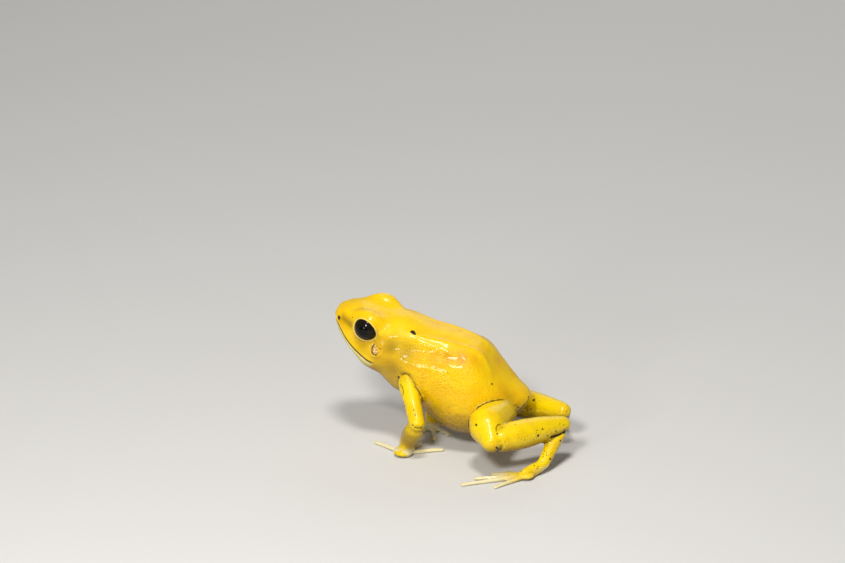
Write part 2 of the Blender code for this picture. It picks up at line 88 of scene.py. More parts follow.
# Two numbers that belong together, such as the ends of a soft step or a height and its spread
Pair = tuple[float, float]
# A height, its middle and its width
Bump = tuple[float, float, float]
# A place, its spread and its strength
Region = tuple[Place, float, float]
# The places along a spot or line, and its half width
Mark = tuple[tuple[Place, ...], float]


class Side(Enum):
    """The frog's own left and right."""

    LEFT = 1.0
    RIGHT = -1.0

    @property
    def label(self) -> str:
        """The word that ends a node's name on this side."""
        return self.name.lower()


class Seam(Enum):
    """Where the skin folds between two parts, with the names of the parts on each side."""

    ROOT = (("trunk",), ("upper_arm", "thigh"))
    BEND = (("upper_arm", "thigh"), ("lower_arm", "shin"))
    HEEL = (("shin",), ("foot",))

    @property
    def label(self) -> str:
        """The name that the mesh keeps it under."""
        return f"seam_{self.name.lower()}"


def smoothstep(low: float, high: float, values: np.ndarray) -> np.ndarray:
    """A soft step.

    Args:
        low: Where the step starts.
        high: Where it ends, on either side of the start.
        values: The values to read it at.

    Returns:
        0 at low, 1 at high, and a soft curve between.
    """
    share = np.clip((values - low) / (high - low), 0.0, 1.0)
    return share * share * (3.0 - 2.0 * share)


def swell(values: np.ndarray, centre: float, spread: float) -> np.ndarray:
    """A soft bump.

    Args:
        values: The values to read it at.
        centre: Where it is 1.
        spread: How far from the centre it falls to about a third.

    Returns:
        The height of the bump at each value.
    """
    return np.exp(-(((values - centre) / spread) ** 2))


def direction(turn: float, rise: float) -> Vector:
    """The way from the frog to what stands at a turn and a rise, both in degrees."""
    around, above = math.radians(turn), math.radians(rise)
    flat = math.cos(above)
    return Vector((math.sin(around) * flat, -math.cos(around) * flat, math.sin(above)))


def mesh_of(name: str, bm: bmesh.types.BMesh) -> bpy.types.Mesh:
    """Turn loose geometry, which is used up, into a named mesh."""
    mesh = bpy.data.meshes.new(name)
    bm.to_mesh(mesh)
    bm.free()
    return mesh


def linked(name: str, data: bpy.types.ID) -> bpy.types.Object:
    """Put a mesh, light or camera in the scene as an object."""
    obj = bpy.data.objects.new(name, data)
    bpy.context.scene.collection.objects.link(obj)
    return obj


@dataclass(frozen=True)
class EyeSocket:
    """Where an eye is and how its opening lies."""

    centre: np.ndarray
    long_axis: np.ndarray
    short_axis: np.ndarray
    gaze: np.ndarray


@dataclass
class Anatomy:
    """Landmarks of the posed frog, found on the solids of the frame."""

    nodes: dict[str, bpy.types.Object]
    head_turn: float = 8.0
    head_pitch: float = 20.0
    body_lean: float = 5.0
    lean_height: float = 14.0
    vent_tip: Place = (0.0, 0.244, 11.21)
    eye_forward: float = -0.4
    eye_gaze: Place = (0.0, 1.0, 0.2)
    eye_slant: float = 16.0

    def __post_init__(self) -> None:
        """Work out the places and directions that depend on the frame."""
        rear = max((vert.co for vert in self.nodes["torso"].data.vertices), key=lambda co: co.x)
        self.origin = np.array(rear) / MM - np.array(self.vent_tip)
        left, right = (self.eye_centre(side) for side in Side)
        self.left = (left - right) / np.linalg.norm(left - right)
        turn, pitch = math.radians(self.head_turn), math.radians(self.head_pitch)
        straight = Vector((-math.cos(pitch) * math.cos(turn), math.cos(pitch) * math.sin(turn),
                           math.sin(pitch)))
        lean = Matrix.Rotation(math.radians(self.body_lean), 3, "X")
        forward = np.array(lean @ straight)
        forward -= self.left * (forward @ self.left)
        self.forward = forward / np.linalg.norm(forward)
        self.up = np.cross(self.forward, self.left)
        self.head = (left + right) / 2.0 - self.forward * self.eye_forward
        self.across = np.array(lean @ Vector((0.0, 1.0, 0.0)))

    def eye_centre(self, side: Side) -> np.ndarray:
        """The middle of the eyeball on one side."""
        low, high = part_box(f"eye_{side.label}")
        return (np.array(low) + np.array(high)) / 2.0 / MM

    def eye_radius(self) -> float:
        """Half the largest width of the eyeball."""
        low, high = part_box("eye_left")
        return max(np.array(high) - np.array(low)) / 2.0 / MM

    def place(self, point: Place | tuple[Place, ...]) -> np.ndarray:
        """A place on the body, or several as rows, in the frame's own millimetres."""
        return self.origin + np.array(point)

    def on_head(self, co: np.ndarray) -> tuple[np.ndarray, np.ndarray, np.ndarray]:
        """Split places into how far they are forward, left and up on the head."""
        offset = co - self.head
        return offset @ self.forward, offset @ self.left, offset @ self.up

    def head_way(self, way: Place) -> np.ndarray:
        """A direction given as forward, left, up on the head."""
        return self.forward * way[0] + self.left * way[1] + self.up * way[2]

    def head_places(self, points: tuple[Place, ...], side: Side) -> np.ndarray:
        """Places on one side of the head, given as forward, outward, up."""
        return np.array([self.head + self.head_way((ahead, side.value * out, up))
                         for ahead, out, up in points])

    def mirrored(self, points: np.ndarray) -> np.ndarray:
        """The places on the other side of the leaning trunk."""
        pivot = self.place((0.0, 0.0, self.lean_height))
        return points - 2.0 * ((points - pivot) @ self.across)[:, None] * self.across

    def both(self, point: Place) -> np.ndarray:
        """A place on the left of the body, and the same on the right."""
        place = self.place((point,))
        return np.concatenate([place, self.mirrored(place)])

    def socket(self, side: Side) -> EyeSocket:
        """Find the eye on one side.

        Args:
            side: Which side.

        Returns:
            Its middle and the directions of its opening.
        """
        ahead, out, up = self.eye_gaze
        gaze = self.head_way((ahead, side.value * out, up))
        gaze /= np.linalg.norm(gaze)
        backward = self.head_way((-1.0, 0.0, -math.tan(math.radians(self.eye_slant))))
        short = np.cross(gaze, backward)
        short /= np.linalg.norm(short)
        return EyeSocket(self.eye_centre(side), np.cross(short, gaze), short, gaze)

    def tree(self, node: str) -> BVHTree:
        """A search tree of one solid, in millimetres."""
        mesh = self.nodes[node].data
        return BVHTree.FromPolygons([vert.co / MM for vert in mesh.vertices],
                                    [face.vertices[:] for face in mesh.polygons])


class Surface:
    """A mesh held as arrays in millimetres, so that its points can be moved together."""

    def __init__(self, mesh: bpy.types.Mesh) -> None:
        """Read the points and edges of a mesh."""
        self.mesh = mesh
        count = len(mesh.vertices)
        co = np.empty(count * 3)
        mesh.vertices.foreach_get("co", co)
        self.co = co.reshape(-1, 3)
        edges = np.empty(len(mesh.edges) * 2, dtype=np.int32)
        mesh.edges.foreach_get("vertices", edges)
        self.edges = edges.reshape(-1, 2)
        self.degree = np.bincount(edges, minlength=count).astype(float)
        self.parts: dict[str, np.ndarray] = {}

    def store(self) -> None:
        """Write the points back to the mesh."""
        self.mesh.vertices.foreach_set("co", self.co.ravel())
        self.mesh.update()

    def normals(self) -> np.ndarray:
        """The outward normals at the points as they are now."""
        self.store()
        normals = np.empty(len(self.co) * 3)
        self.mesh.vertex_normals.foreach_get("vector", normals)
        return normals.reshape(-1, 3)

    def spread(self, values: np.ndarray, rounds: int) -> np.ndarray:
        """Even out a value along the edges.

        Args:
            values: A number or a vector for each point.
            rounds: How many times each point moves halfway to the mean of its neighbours.

        Returns:
            The evened values.
        """
        columns = values.reshape(len(values), -1).astype(float)
        first, second = self.edges[:, 0], self.edges[:, 1]
        count = len(columns)
        for _ in range(rounds):
            total = np.stack([
                np.bincount(first, weights=column[second], minlength=count)
                + np.bincount(second, weights=column[first], minlength=count)
                for column in columns.T
            ], axis=1)
            columns = 0.5 * (columns + total / self.degree[:, None])
        return columns.reshape(values.shape)

    def even(self, rounds: int, weight: np.ndarray | float = 1.0) -> None:
        """Smooth the surface without shrinking it.

        Args:
            rounds: How far the smoothing reaches.
            weight: How much of it each point takes.
        """
        relaxed = self.spread(self.co, rounds)
        drift = self.spread(relaxed - self.co, rounds)
        self.co = self.co + (relaxed - drift - self.co) * np.reshape(weight, (-1, 1))

    def push(self, distance: np.ndarray | float) -> None:
        """Move the points along their normals."""
        self.co = self.co + self.normals() * np.reshape(distance, (-1, 1))

    def concavity(self, rounds: int) -> np.ndarray:
        """How far the skin lies below its own smoothed surface."""
        lifted = self.spread(self.co, rounds) - self.co
        return np.einsum("ij,ij->i", lifted, self.normals())

    def near(self, place: np.ndarray) -> np.ndarray:
        """The distance of each point from a place."""
        return np.linalg.norm(self.co - place, axis=1)

    def patch(self, place: np.ndarray, spread: float) -> np.ndarray:
        """A soft round patch: 1 at a place, and about a third at the spread."""
        return swell(self.near(place), 0.0, spread)

    def within(self, nodes: tuple[str, ...], margin: float) -> np.ndarray:
        """Find the points that lie near some solids.

        Args:
            nodes: The names of the solids.
            margin: How far outside their common box a point may lie.

        Returns:
            True for each point that does.
        """
        corners = np.array([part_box(node) for node in nodes]) / MM
        low, high = corners[:, 0].min(axis=0) - margin, corners[:, 1].max(axis=0) + margin
        return np.all((self.co > low) & (self.co < high), axis=1)

    def near_path(self, path: np.ndarray) -> tuple[np.ndarray, np.ndarray, np.ndarray]:
        """Measure the points against a path.

        Args:
            path: The places along it.

        Returns:
            How far each point is from the path, how far below it, and at what share of it.
        """
        best = np.full(len(self.co), np.inf)
        below, along = np.zeros((2, len(self.co)))
        for index, (start, end) in enumerate(zip(path, path[1:])):
            run = end - start
            share = np.clip((self.co - start) @ run / (run @ run), 0.0, 1.0)
            offset = self.co - (start + share[:, None] * run)
            distance = np.linalg.norm(offset, axis=1)
            closer = distance < best
            best = np.where(closer, distance, best)
            below = np.where(closer, -offset[:, 2], below)
            along = np.where(closer, (index + share) / (len(path) - 1), along)
        return best, below, along

    def tree(self) -> BVHTree:
        """A search tree of the surface."""
        self.store()
        return BVHTree.FromPolygons([vert.co for vert in self.mesh.vertices],
                                    [face.vertices[:] for face in self.mesh.polygons])

    def keep(self, name: str, values: np.ndarray) -> None:
        """Keep one number for each point on the mesh, under a name."""
        layer = self.mesh.attributes.new(name, "FLOAT", "POINT")
        layer.data.foreach_set("value", np.clip(values, -FAR, FAR).astype(np.float32))


@dataclass
class Shell:
    """The plain skin: grown over the solids until their gaps close, fused, and drawn back."""

    anatomy: Anatomy
    growth: float = 0.2
    most_growth: float = 1.6
    merging: float = 0.0005
    rough_voxel: float = 0.34
    fine_voxel: float = 0.298
    group_rounds: int = 16
    group_band: Pair = (1.3, 3.0)
    least_smooth: float = 0.1
    fused_rounds: int = 3
    face_rounds: int = 45
    face_reach: Pair = (6.8, 4.6)
    face_height: Pair = (-5.8, -3.2)
    digit_band: Pair = (2.2, 1.4)
    digit_margin: float = 0.5
    digit_search: float = 0.7
    eye_fill: float = 2.95
    head_start: float = -6.2
    head_blend: float = 1.2
    head_floor: float = 12.0
    head_rounds: int = 4
    reach: float = 3.0
    blends: tuple[tuple[Place, float, int], ...] = (
        ((-2.2, -4.6, 11.9), 2.4, 60), ((-2.4, 4.6, 11.4), 2.4, 60), ((-27.2, -5.8, 17.2), 1.6, 20),
        ((-24.4, -7.8, 15.9), 1.9, 40),
    )
    throat: tuple[Place, ...] = ((-31.5, -3.0, 16.6), (-29.8, -3.2, 14.9), (-28.2, -3.4, 13.6))
    throat_swell: Pair = (1.0, 2.6)
    brow: tuple[Place, ...] = ((-32.9, 4.1, 29.2), (-31.3, 3.8, 28.7), (-29.7, 3.4, 27.6))
    brow_swell: Pair = (0.4, 1.5)
    jaw: tuple[Place, ...] = ((-2.6, 6.2, -6.4), (0.0, 5.6, -6.1), (2.4, 4.4, -5.4), (4.4, 2.9, -4.7))
    jaw_swell: Pair = (0.55, 1.8)

    def groups(self) -> dict[str, tuple[str, ...]]:
        """The solids that belong together, under the name of each group."""
        found = {"trunk": ("head", "lower_jaw", "torso")}
        for side in Side:
            for part in ("upper_arm", "thigh", "shin", "foot"):
                found[f"{part}_{side.label}"] = (f"{part}_{side.label}",)
            found[f"lower_arm_{side.label}"] = (f"forearm_{side.label}", f"hand_{side.label}")
        return found

    def build(self) -> Surface:
        """Make the skin before its finer forms.

        Returns:
            One closed surface, with the distance of its points from each group in its parts.
        """
        total = bmesh.new()
        trees = {}
        for name, members in self.groups().items():
            group = self.grown(name, members)
            trees[name] = group.tree()
            total.from_mesh(group.mesh)
        surface = Surface(self.fused("skin", total, self.fine_voxel))
        surface.push(-self.growth)
        surface.even(self.fused_rounds)
        self.settle(surface)
        for point, reach, rounds in self.blends:
            weight = surface.patch(self.anatomy.place(point), reach)
            relaxed = surface.spread(surface.co, rounds)
            surface.co = surface.co + (relaxed - surface.co) * weight[:, None]
        for path, (height, spread) in self.swells():
            surface.push(height * swell(surface.near_path(path)[0], 0.0, spread))
        surface = self.refined(surface)
        surface.parts = self.distances(surface, trees)
        return surface

    def swells(self) -> list[tuple[np.ndarray, Pair]]:
        """The paths along which the skin stands out, each with its height and spread."""
        return [(self.anatomy.place(self.throat), self.throat_swell),
                (self.anatomy.place(self.brow), self.brow_swell),
                *((self.anatomy.head_places(self.jaw, side), self.jaw_swell) for side in Side)]

    def grown(self, name: str, members: tuple[str, ...]) -> Surface:
        """Fuse some solids into one smooth surface, a little larger than they are.

        Args:
            name: The name of the group.
            members: The solids in it.

        Returns:
            The smooth surface.
        """
        bm = bmesh.new()
        for member in members:
            self.add_grown(bm, self.anatomy.nodes[member])
        eyes = [self.anatomy.eye_centre(side) for side in Side] if name == "trunk" else []
        for eye in eyes:
            bmesh.ops.create_uvsphere(bm, u_segments=32, v_segments=20,
                                      radius=self.eye_fill + self.growth,
                                      matrix=Matrix.Translation(eye))
        surface = Surface(self.fused(name, bm, self.rough_voxel))
        off_floor = smoothstep(*self.group_band, surface.co[:, 2])
        surface.even(self.group_rounds, self.least_smooth + (1.0 - self.least_smooth) * off_floor)
        if eyes:
            _, _, up = self.anatomy.on_head(surface.co)
            reach = np.min([surface.near(eye) for eye in eyes], axis=0)
            surface.even(self.face_rounds, smoothstep(*self.face_reach, reach)
                         * smoothstep(*self.face_height, up))
        return surface

    def add_grown(self, bm: bmesh.types.BMesh, node: bpy.types.Object) -> None:
        """Add a copy of a solid, its points merged and moved outwards, in millimetres."""
        copy = bmesh.new()
        copy.from_mesh(node.data)
        bmesh.ops.scale(copy, verts=copy.verts, vec=(1.0 / MM,) * 3)
        bmesh.ops.remove_doubles(copy, verts=copy.verts, dist=self.merging)
        copy.normal_update()
        steps = [vert.normal * min(vert.calc_shell_factor(), self.most_growth) * self.growth
                 for vert in copy.verts]
        for vert, step in zip(copy.verts, steps):
            vert.co += step
        mesh = mesh_of("grown", copy)
        bm.from_mesh(mesh)
        bpy.data.meshes.remove(mesh)

    def fused(self, name: str, bm: bmesh.types.BMesh, voxel: float) -> bpy.types.Mesh:
        """Turn closed shapes that overlap into one surface of even faces.

        Args:
            name: The name of the new mesh.
            bm: The shapes, which are used up.
            voxel: The size of the faces.

        Returns:
            The mesh of the one surface.
        """
        mesh = mesh_of(name, bm)
        obj = linked(name, mesh)
        remesh = obj.modifiers.new("even_faces", "REMESH")
        remesh.mode = "VOXEL"
        remesh.voxel_size = voxel
        graph = bpy.context.evaluated_depsgraph_get()
        result = bpy.data.meshes.new_from_object(obj.evaluated_get(graph))
        bpy.data.objects.remove(obj)
        bpy.data.meshes.remove(mesh)
        return result

    def settle(self, surface: Surface) -> None:
        """Bring the fingers and toes back to the thickness of their solids."""
        for name in (f"{part}_{side.label}" for side in Side for part in ("hand", "foot")):
            tree = self.anatomy.tree(name)
            near = surface.within((name,), self.digit_margin) & (surface.co[:, 2] < self.digit_band[0])
            for index in np.nonzero(near)[0]:
                co = Vector(surface.co[index])
                found, normal, _, _ = tree.find_nearest(co, self.digit_search)
                if found is not None:
                    away = (co - found).dot(normal)
                    weight = float(smoothstep(*self.digit_band, surface.co[index, 2]))
                    surface.co[index] -= np.array(normal) * away * weight

    def refined(self, surface: Surface) -> Surface:
        """Divide the faces of the head once more, for its finer forms."""
        surface.store()
        bm = bmesh.new()
        bm.from_mesh(surface.mesh)
        forward, _, _ = self.anatomy.on_head(surface.co)
        head = set(np.nonzero((forward > self.head_start) & (surface.co[:, 2] > self.head_floor))[0])
        edges = [edge for edge in bm.edges if all(vert.index in head for vert in edge.verts)]
        bmesh.ops.subdivide_edges(bm, edges=edges, cuts=1, use_grid_fill=True)
        bm.to_mesh(surface.mesh)
        bm.free()
        fine = Surface(surface.mesh)
        forward, _, _ = self.anatomy.on_head(fine.co)
        weight = smoothstep(self.head_start - self.head_blend, self.head_start, forward)
        fine.even(self.head_rounds, weight * (fine.co[:, 2] > self.head_floor - 1.0))
        return fine

    def distances(self, surface: Surface, trees: dict[str, BVHTree]) -> dict[str, np.ndarray]:
        """How far each point lies from each group.

        Args:
            surface: The skin.
            trees: A search tree for each group.

        Returns:
            The distances under the name of each group, no larger than the reach.
        """
        found = {}
        for name, members in self.groups().items():
            distances = np.full(len(surface.co), self.reach)
            for index in np.nonzero(surface.within(members, self.reach))[0]:
                distance = trees[name].find_nearest(surface.co[index], self.reach)[3]
                if distance is not None:
                    distances[index] = distance
            found[name] = distances
        return found


@dataclass
class Feature:
    """A form of the skin, and what it leaves on the mesh for the finish."""

    anatomy: Anatomy

    def shape(self, surface: Surface) -> None:
        """Move the points of the skin, where the feature has a form.

        Args:
            surface: The skin, in millimetres.
        """

    def mark(self, surface: Surface) -> None:
        """Keep numbers for the finish, where the feature shows in the colours.

        Args:
            surface: The finished form of the skin, in millimetres.
        """


@dataclass
class Texture(Feature):
    """The uneven surface of the body: slow undulations and coarse grains."""

    slow_height: float = 0.06
    slow_size: float = 2.2
    grain_height: float = 0.09
    grain_middle: float = 0.4
    grain_size: float = 0.55
    least_grain: Pair = (0.12, 0.55)
    sideways: Pair = (0.8, 0.3)
    underneath: Pair = (0.1, -0.8)
    belonging: Pair = (0.6, 0.3)
    limb_edge: Pair = (-0.4, 0.4)
    limb_rounds: int = 3
    smooth_head: Pair = (-12.0, -4.0)
    smooth_floor: Pair = (1.4, 2.6)
    rough_place: Place = (-1.8, -4.6, 11.2)
    rough_spread: float = 1.7
    upper_place: Place = (-17.2, -7.6, 20.0)
    upper_spread: float = 5.2
    lower_edge: Pair = (11.5, 8.0)
    plain_share: float = 0.35
    hollow_rounds: int = 8
    hollow_depth: float = 0.1
    specked_height: Pair = (15.0, 8.0)
    specked_floor: Pair = (0.5, 1.5)
    specked_limbs: tuple[tuple[str, float], ...] = (
        ("shin", 0.9), ("foot", 1.0), ("thigh", 0.35), ("upper_arm", 0.3), ("lower_arm", 0.3),
    )

    def grain(self, surface: Surface) -> np.ndarray:
        """How grainy each point is: much on flanks and belly, little on back and head."""
        forward, _, _ = self.anatomy.on_head(surface.co)
        body = 1.0 - smoothstep(*self.smooth_head, forward)
        sideways = smoothstep(*self.sideways, surface.normals()[:, 2])
        trunk = smoothstep(*self.belonging, surface.parts["trunk"])
        rough = surface.patch(self.anatomy.place(self.rough_place), self.rough_spread)
        upper = np.max([surface.patch(place, self.upper_spread)
                        for place in self.anatomy.both(self.upper_place)], axis=0)
        lower = smoothstep(*self.lower_edge, surface.co[:, 2])
        sideways = sideways * (self.plain_share + (1.0 - self.plain_share) * np.maximum(upper, lower))
        back, limb = self.least_grain
        return np.maximum(rough, body * (back + (1.0 - back) * sideways) * (limb + (1.0 - limb) * trunk))

    def shape(self, surface: Surface) -> None:
        """Raise the grains and undulations."""
        grain = self.grain(surface)
        off_floor = smoothstep(*self.smooth_floor, surface.co[:, 2])
        slow = np.array([noise.noise(Vector(co) / self.slow_size) for co in surface.co])
        cells = np.array([noise.voronoi(Vector(co) / self.grain_size)[0][0] for co in surface.co])
        raised = grain * self.grain_height * (self.grain_middle - cells)
        surface.push(off_floor * (self.slow_height * slow + raised))

    def mark(self, surface: Surface) -> None:
        """Keep where the skin is grainy, limb or specked, and where it lies in a hollow or faces down, for
        the painted shade there.
        """
        limbs = np.min([away for name, away in surface.parts.items() if name != "trunk"], axis=0)
        limb = surface.spread(smoothstep(*self.limb_edge, surface.parts["trunk"] - limbs), self.limb_rounds)
        height = surface.co[:, 2]
        surface.keep("limb", limb)
        surface.keep("grain", self.grain(surface))
        # Painted shade: how far the skin lies in a hollow, and how far it faces down
        hollow = surface.concavity(self.hollow_rounds) / self.hollow_depth
        surface.keep("hollow", np.clip(hollow, 0.0, 1.0))
        surface.keep("under", smoothstep(*self.underneath, surface.normals()[:, 2]))
        specks = (1.0 - limb) * smoothstep(*self.specked_height, height)
        for side in Side:
            for name, much in self.specked_limbs:
                near = smoothstep(*self.belonging, surface.parts[f"{name}_{side.label}"])
                specks = np.maximum(specks, much * near)
        surface.keep("specks", specks * smoothstep(*self.specked_floor, height))


@dataclass
class Shades(Feature):
    """Painted shade: soft darker regions behind the ears, over the arms, on the cheeks, forearms and rump,
    and browner ones in the hollows under the ridges.
    """

    # Painted shade where the body lies in shadow: behind the ears, over the arms, on the cheeks, the
    # forearms, the lower belly and round the rump
    dusky: tuple[Region, ...] = (
        ((-28.4, -6.4, 22.0), 2.4, 0.68), ((-28.1, -6.9, 17.6), 3.0, 0.62), ((-25.4, -6.9, 21.2), 2.8, 0.55),
        ((-34.2, -6.0, 21.6), 2.4, 0.4), ((-2.6, -4.6, 13.2), 1.9, 0.6), ((-23.2, -11.9, 5.2), 2.8, 0.85),
        ((-20.4, -8.6, 8.8), 2.6, 0.4), ((-1.5, -3.6, 10.4), 2.4, 0.4),
    )
    # Painted shade, in a browner tone, in the hollows under the ridges and in front of the hip
    tan: tuple[Region, ...] = (
        ((-15.8, -6.7, 21.2), 1.6, 0.7), ((-13.1, -6.3, 21.5), 1.9, 0.85), ((-10.8, -5.6, 20.8), 1.6, 0.5),
        ((-19.4, -7.2, 21.0), 1.8, 0.5), ((-5.6, -4.2, 14.6), 2.0, 0.35),
    )
    side_shares: Pair = (1.0, 0.35)

    def cover(self, surface: Surface, regions: tuple[Region, ...]) -> np.ndarray:
        """How much of a shade each point takes.

        Args:
            surface: The skin.
            regions: The place, spread and strength of each region on the left.

        Returns:
            The shade, weaker on the right side of the trunk.
        """
        much = np.zeros(len(surface.co))
        for point, spread, strength in regions:
            for place, share in zip(self.anatomy.both(point), self.side_shares):
                much = np.maximum(much, share * strength * surface.patch(place, spread))
        return much

    def mark(self, surface: Surface) -> None:
        """Keep both kinds of painted shade."""
        surface.keep("dusky", self.cover(surface, self.dusky))
        surface.keep("tan", self.cover(surface, self.tan))


@dataclass
class Ridges(Feature):
    """The fold along each side of the back, and the hollow of the flank under it."""

    path: tuple[Place, ...] = (
        (-28.6, -4.9, 25.4), (-26.1, -4.9, 25.3), (-22.9, -4.9, 24.5), (-18.0, -4.5, 23.9),
        (-14.5, -4.2, 23.3), (-10.8, -3.3, 22.2), (-9.0, -3.2, 20.6), (-7.5, -3.8, 18.2), (-6.4, -5.0, 15.6),
    )
    crest: Pair = (0.3, 0.85)
    crest_ends: Pair = (0.25, 0.72)
    dip: Bump = (0.5, 3.0, 1.5)
    belly: Bump = (0.3, 6.6, 2.2)
    slow_ends: Pair = (0.25, 0.75)
    slow_below: Pair = (0.3, 1.4)
    softness: int = 20
    straight: int = 6

    def shape(self, surface: Surface) -> None:
        """Sharpen both folds, and shape the flanks under their straight parts."""
        path = self.anatomy.place(self.path)
        height, spread = self.crest
        depth, lower, reach = self.dip
        bulge, middle, width = self.belly
        for points in (path, self.anatomy.mirrored(path)):
            distance, _, along = surface.near_path(points)
            crest = height * self.faded(along, self.crest_ends) * swell(distance, 0.0, spread)
            distance, below, along = surface.near_path(points[:self.straight])
            slow = bulge * swell(distance, middle, width) - depth * swell(distance, lower, reach)
            slow *= self.faded(along, self.slow_ends)
            slow *= smoothstep(*self.slow_below, below)
            surface.push(crest + surface.spread(slow, self.softness))

    def faded(self, along: np.ndarray, ends: Pair) -> np.ndarray:
        """A share that rises up to the first end of a path and falls from the second."""
        return smoothstep(0.0, ends[0], along) * smoothstep(1.0, ends[1], along)


@dataclass
class Creases(Feature):
    """The folds where the limbs meet the body and where they bend."""

    width: float = 0.42
    depth: float = 0.22
    shallow: float = 0.6
    soft_right: float = 0.8
    right_band: Pair = (0.5, 3.0)
    steepness: float = 20.0
    soft_core: float = 0.6
    soft: tuple[Region, ...] = (
        ((-2.0, -4.4, 11.6), 3.4, 1.0), ((-2.4, 4.8, 11.2), 2.9, 1.0), ((-2.4, -15.6, 9.8), 4.0, 1.0),
        ((-2.6, 13.0, 7.0), 4.0, 1.0), ((-22.0, -13.2, 7.4), 3.4, 1.0), ((-24.8, -7.8, 15.4), 2.9, 1.0),
        ((8.3, -7.2, 7.0), 3.6, 0.6),
    )

    def signed(self, surface: Surface, seam: Seam) -> np.ndarray:
        """How much nearer a point is to the part on one side of a seam than on the other.

        Args:
            surface: The skin.
            seam: The seam.

        Returns:
            The difference, 0 along the seam, made steep wherever both parts are far.
        """
        sides = [
            np.min([surface.parts[f"{name}_{side.label}"] if name != "trunk" else surface.parts[name]
                    for name in names for side in Side], axis=0)
            for names in seam.value
        ]
        difference = sides[0] - sides[1]
        apart = np.maximum(np.minimum(sides[0], sides[1]) - self.shallow, 0.0)
        return difference + np.where(difference < 0.0, -1.0, 1.0) * self.steepness * apart

    def strength(self, surface: Surface) -> np.ndarray:
        """How sharp the folds are: less where the skin runs on smoothly."""
        rightward = surface.co[:, 1] - self.anatomy.origin[1]
        sharp = 1.0 - self.soft_right * smoothstep(*self.right_band, rightward)
        for point, reach, share in self.soft:
            away = surface.near(self.anatomy.place(point))
            sharp *= 1.0 - share * smoothstep(reach, reach * self.soft_core, away)
        return sharp

    def shape(self, surface: Surface) -> None:
        """Sink each fold."""
        sharp = self.strength(surface)
        for seam in Seam:
            line = 1.0 - smoothstep(0.0, self.width, np.abs(self.signed(surface, seam)))
            surface.push(-self.depth * line * sharp)

    def mark(self, surface: Surface) -> None:
        """Keep where the folds are, for the painted shade along them."""
        surface.keep("seam_strength", self.strength(surface))
        for seam in Seam:
            surface.keep(seam.label, self.signed(surface, seam))


@dataclass
class Hollows(Feature):
    """Folds and dips that lie along paths or round places."""

    folds: tuple[tuple[Place, ...], ...] = (
        ((-25.9, -7.3, 16.5), (-25.1, -7.4, 17.0), (-24.2, -7.6, 16.8), (-23.3, -7.8, 15.8),
         (-22.5, -8.1, 14.5)),
        ((-21.0, -14.3, 8.1), (-20.6, -14.1, 7.9), (-19.5, -13.3, 7.7)),
        ((7.0, -8.8, 7.0), (8.0, -7.2, 7.0), (9.4, -5.9, 7.4)),
    )
    fold: Pair = (0.32, 0.3)
    dips: tuple[Region, ...] = (
        ((-28.4, -6.4, 22.0), 1.8, 0.3), ((-24.8, -6.9, 20.8), 1.8, 0.15), ((-2.4, -4.4, 13.4), 1.4, 0.25),
    )

    def near_folds(self, surface: Surface) -> np.ndarray:
        """The distance of each point from the nearest fold."""
        tree = surface.tree()
        paths = [[tree.find_nearest(place)[0] for place in self.anatomy.place(path)]
                 for path in self.folds]
        return np.min([surface.near_path(np.array(path))[0] for path in paths], axis=0)

    def shape(self, surface: Surface) -> None:
        """Sink the folds and dips, the dips on both sides of the trunk."""
        for point, spread, depth in self.dips:
            for place in self.anatomy.both(point):
                surface.push(-depth * surface.patch(place, spread))
        depth, spread = self.fold
        surface.push(-depth * swell(self.near_folds(surface), 0.0, spread))

    def mark(self, surface: Surface) -> None:
        """Keep the distance from the folds, for the painted shade along them."""
        surface.keep("fold", self.near_folds(surface))


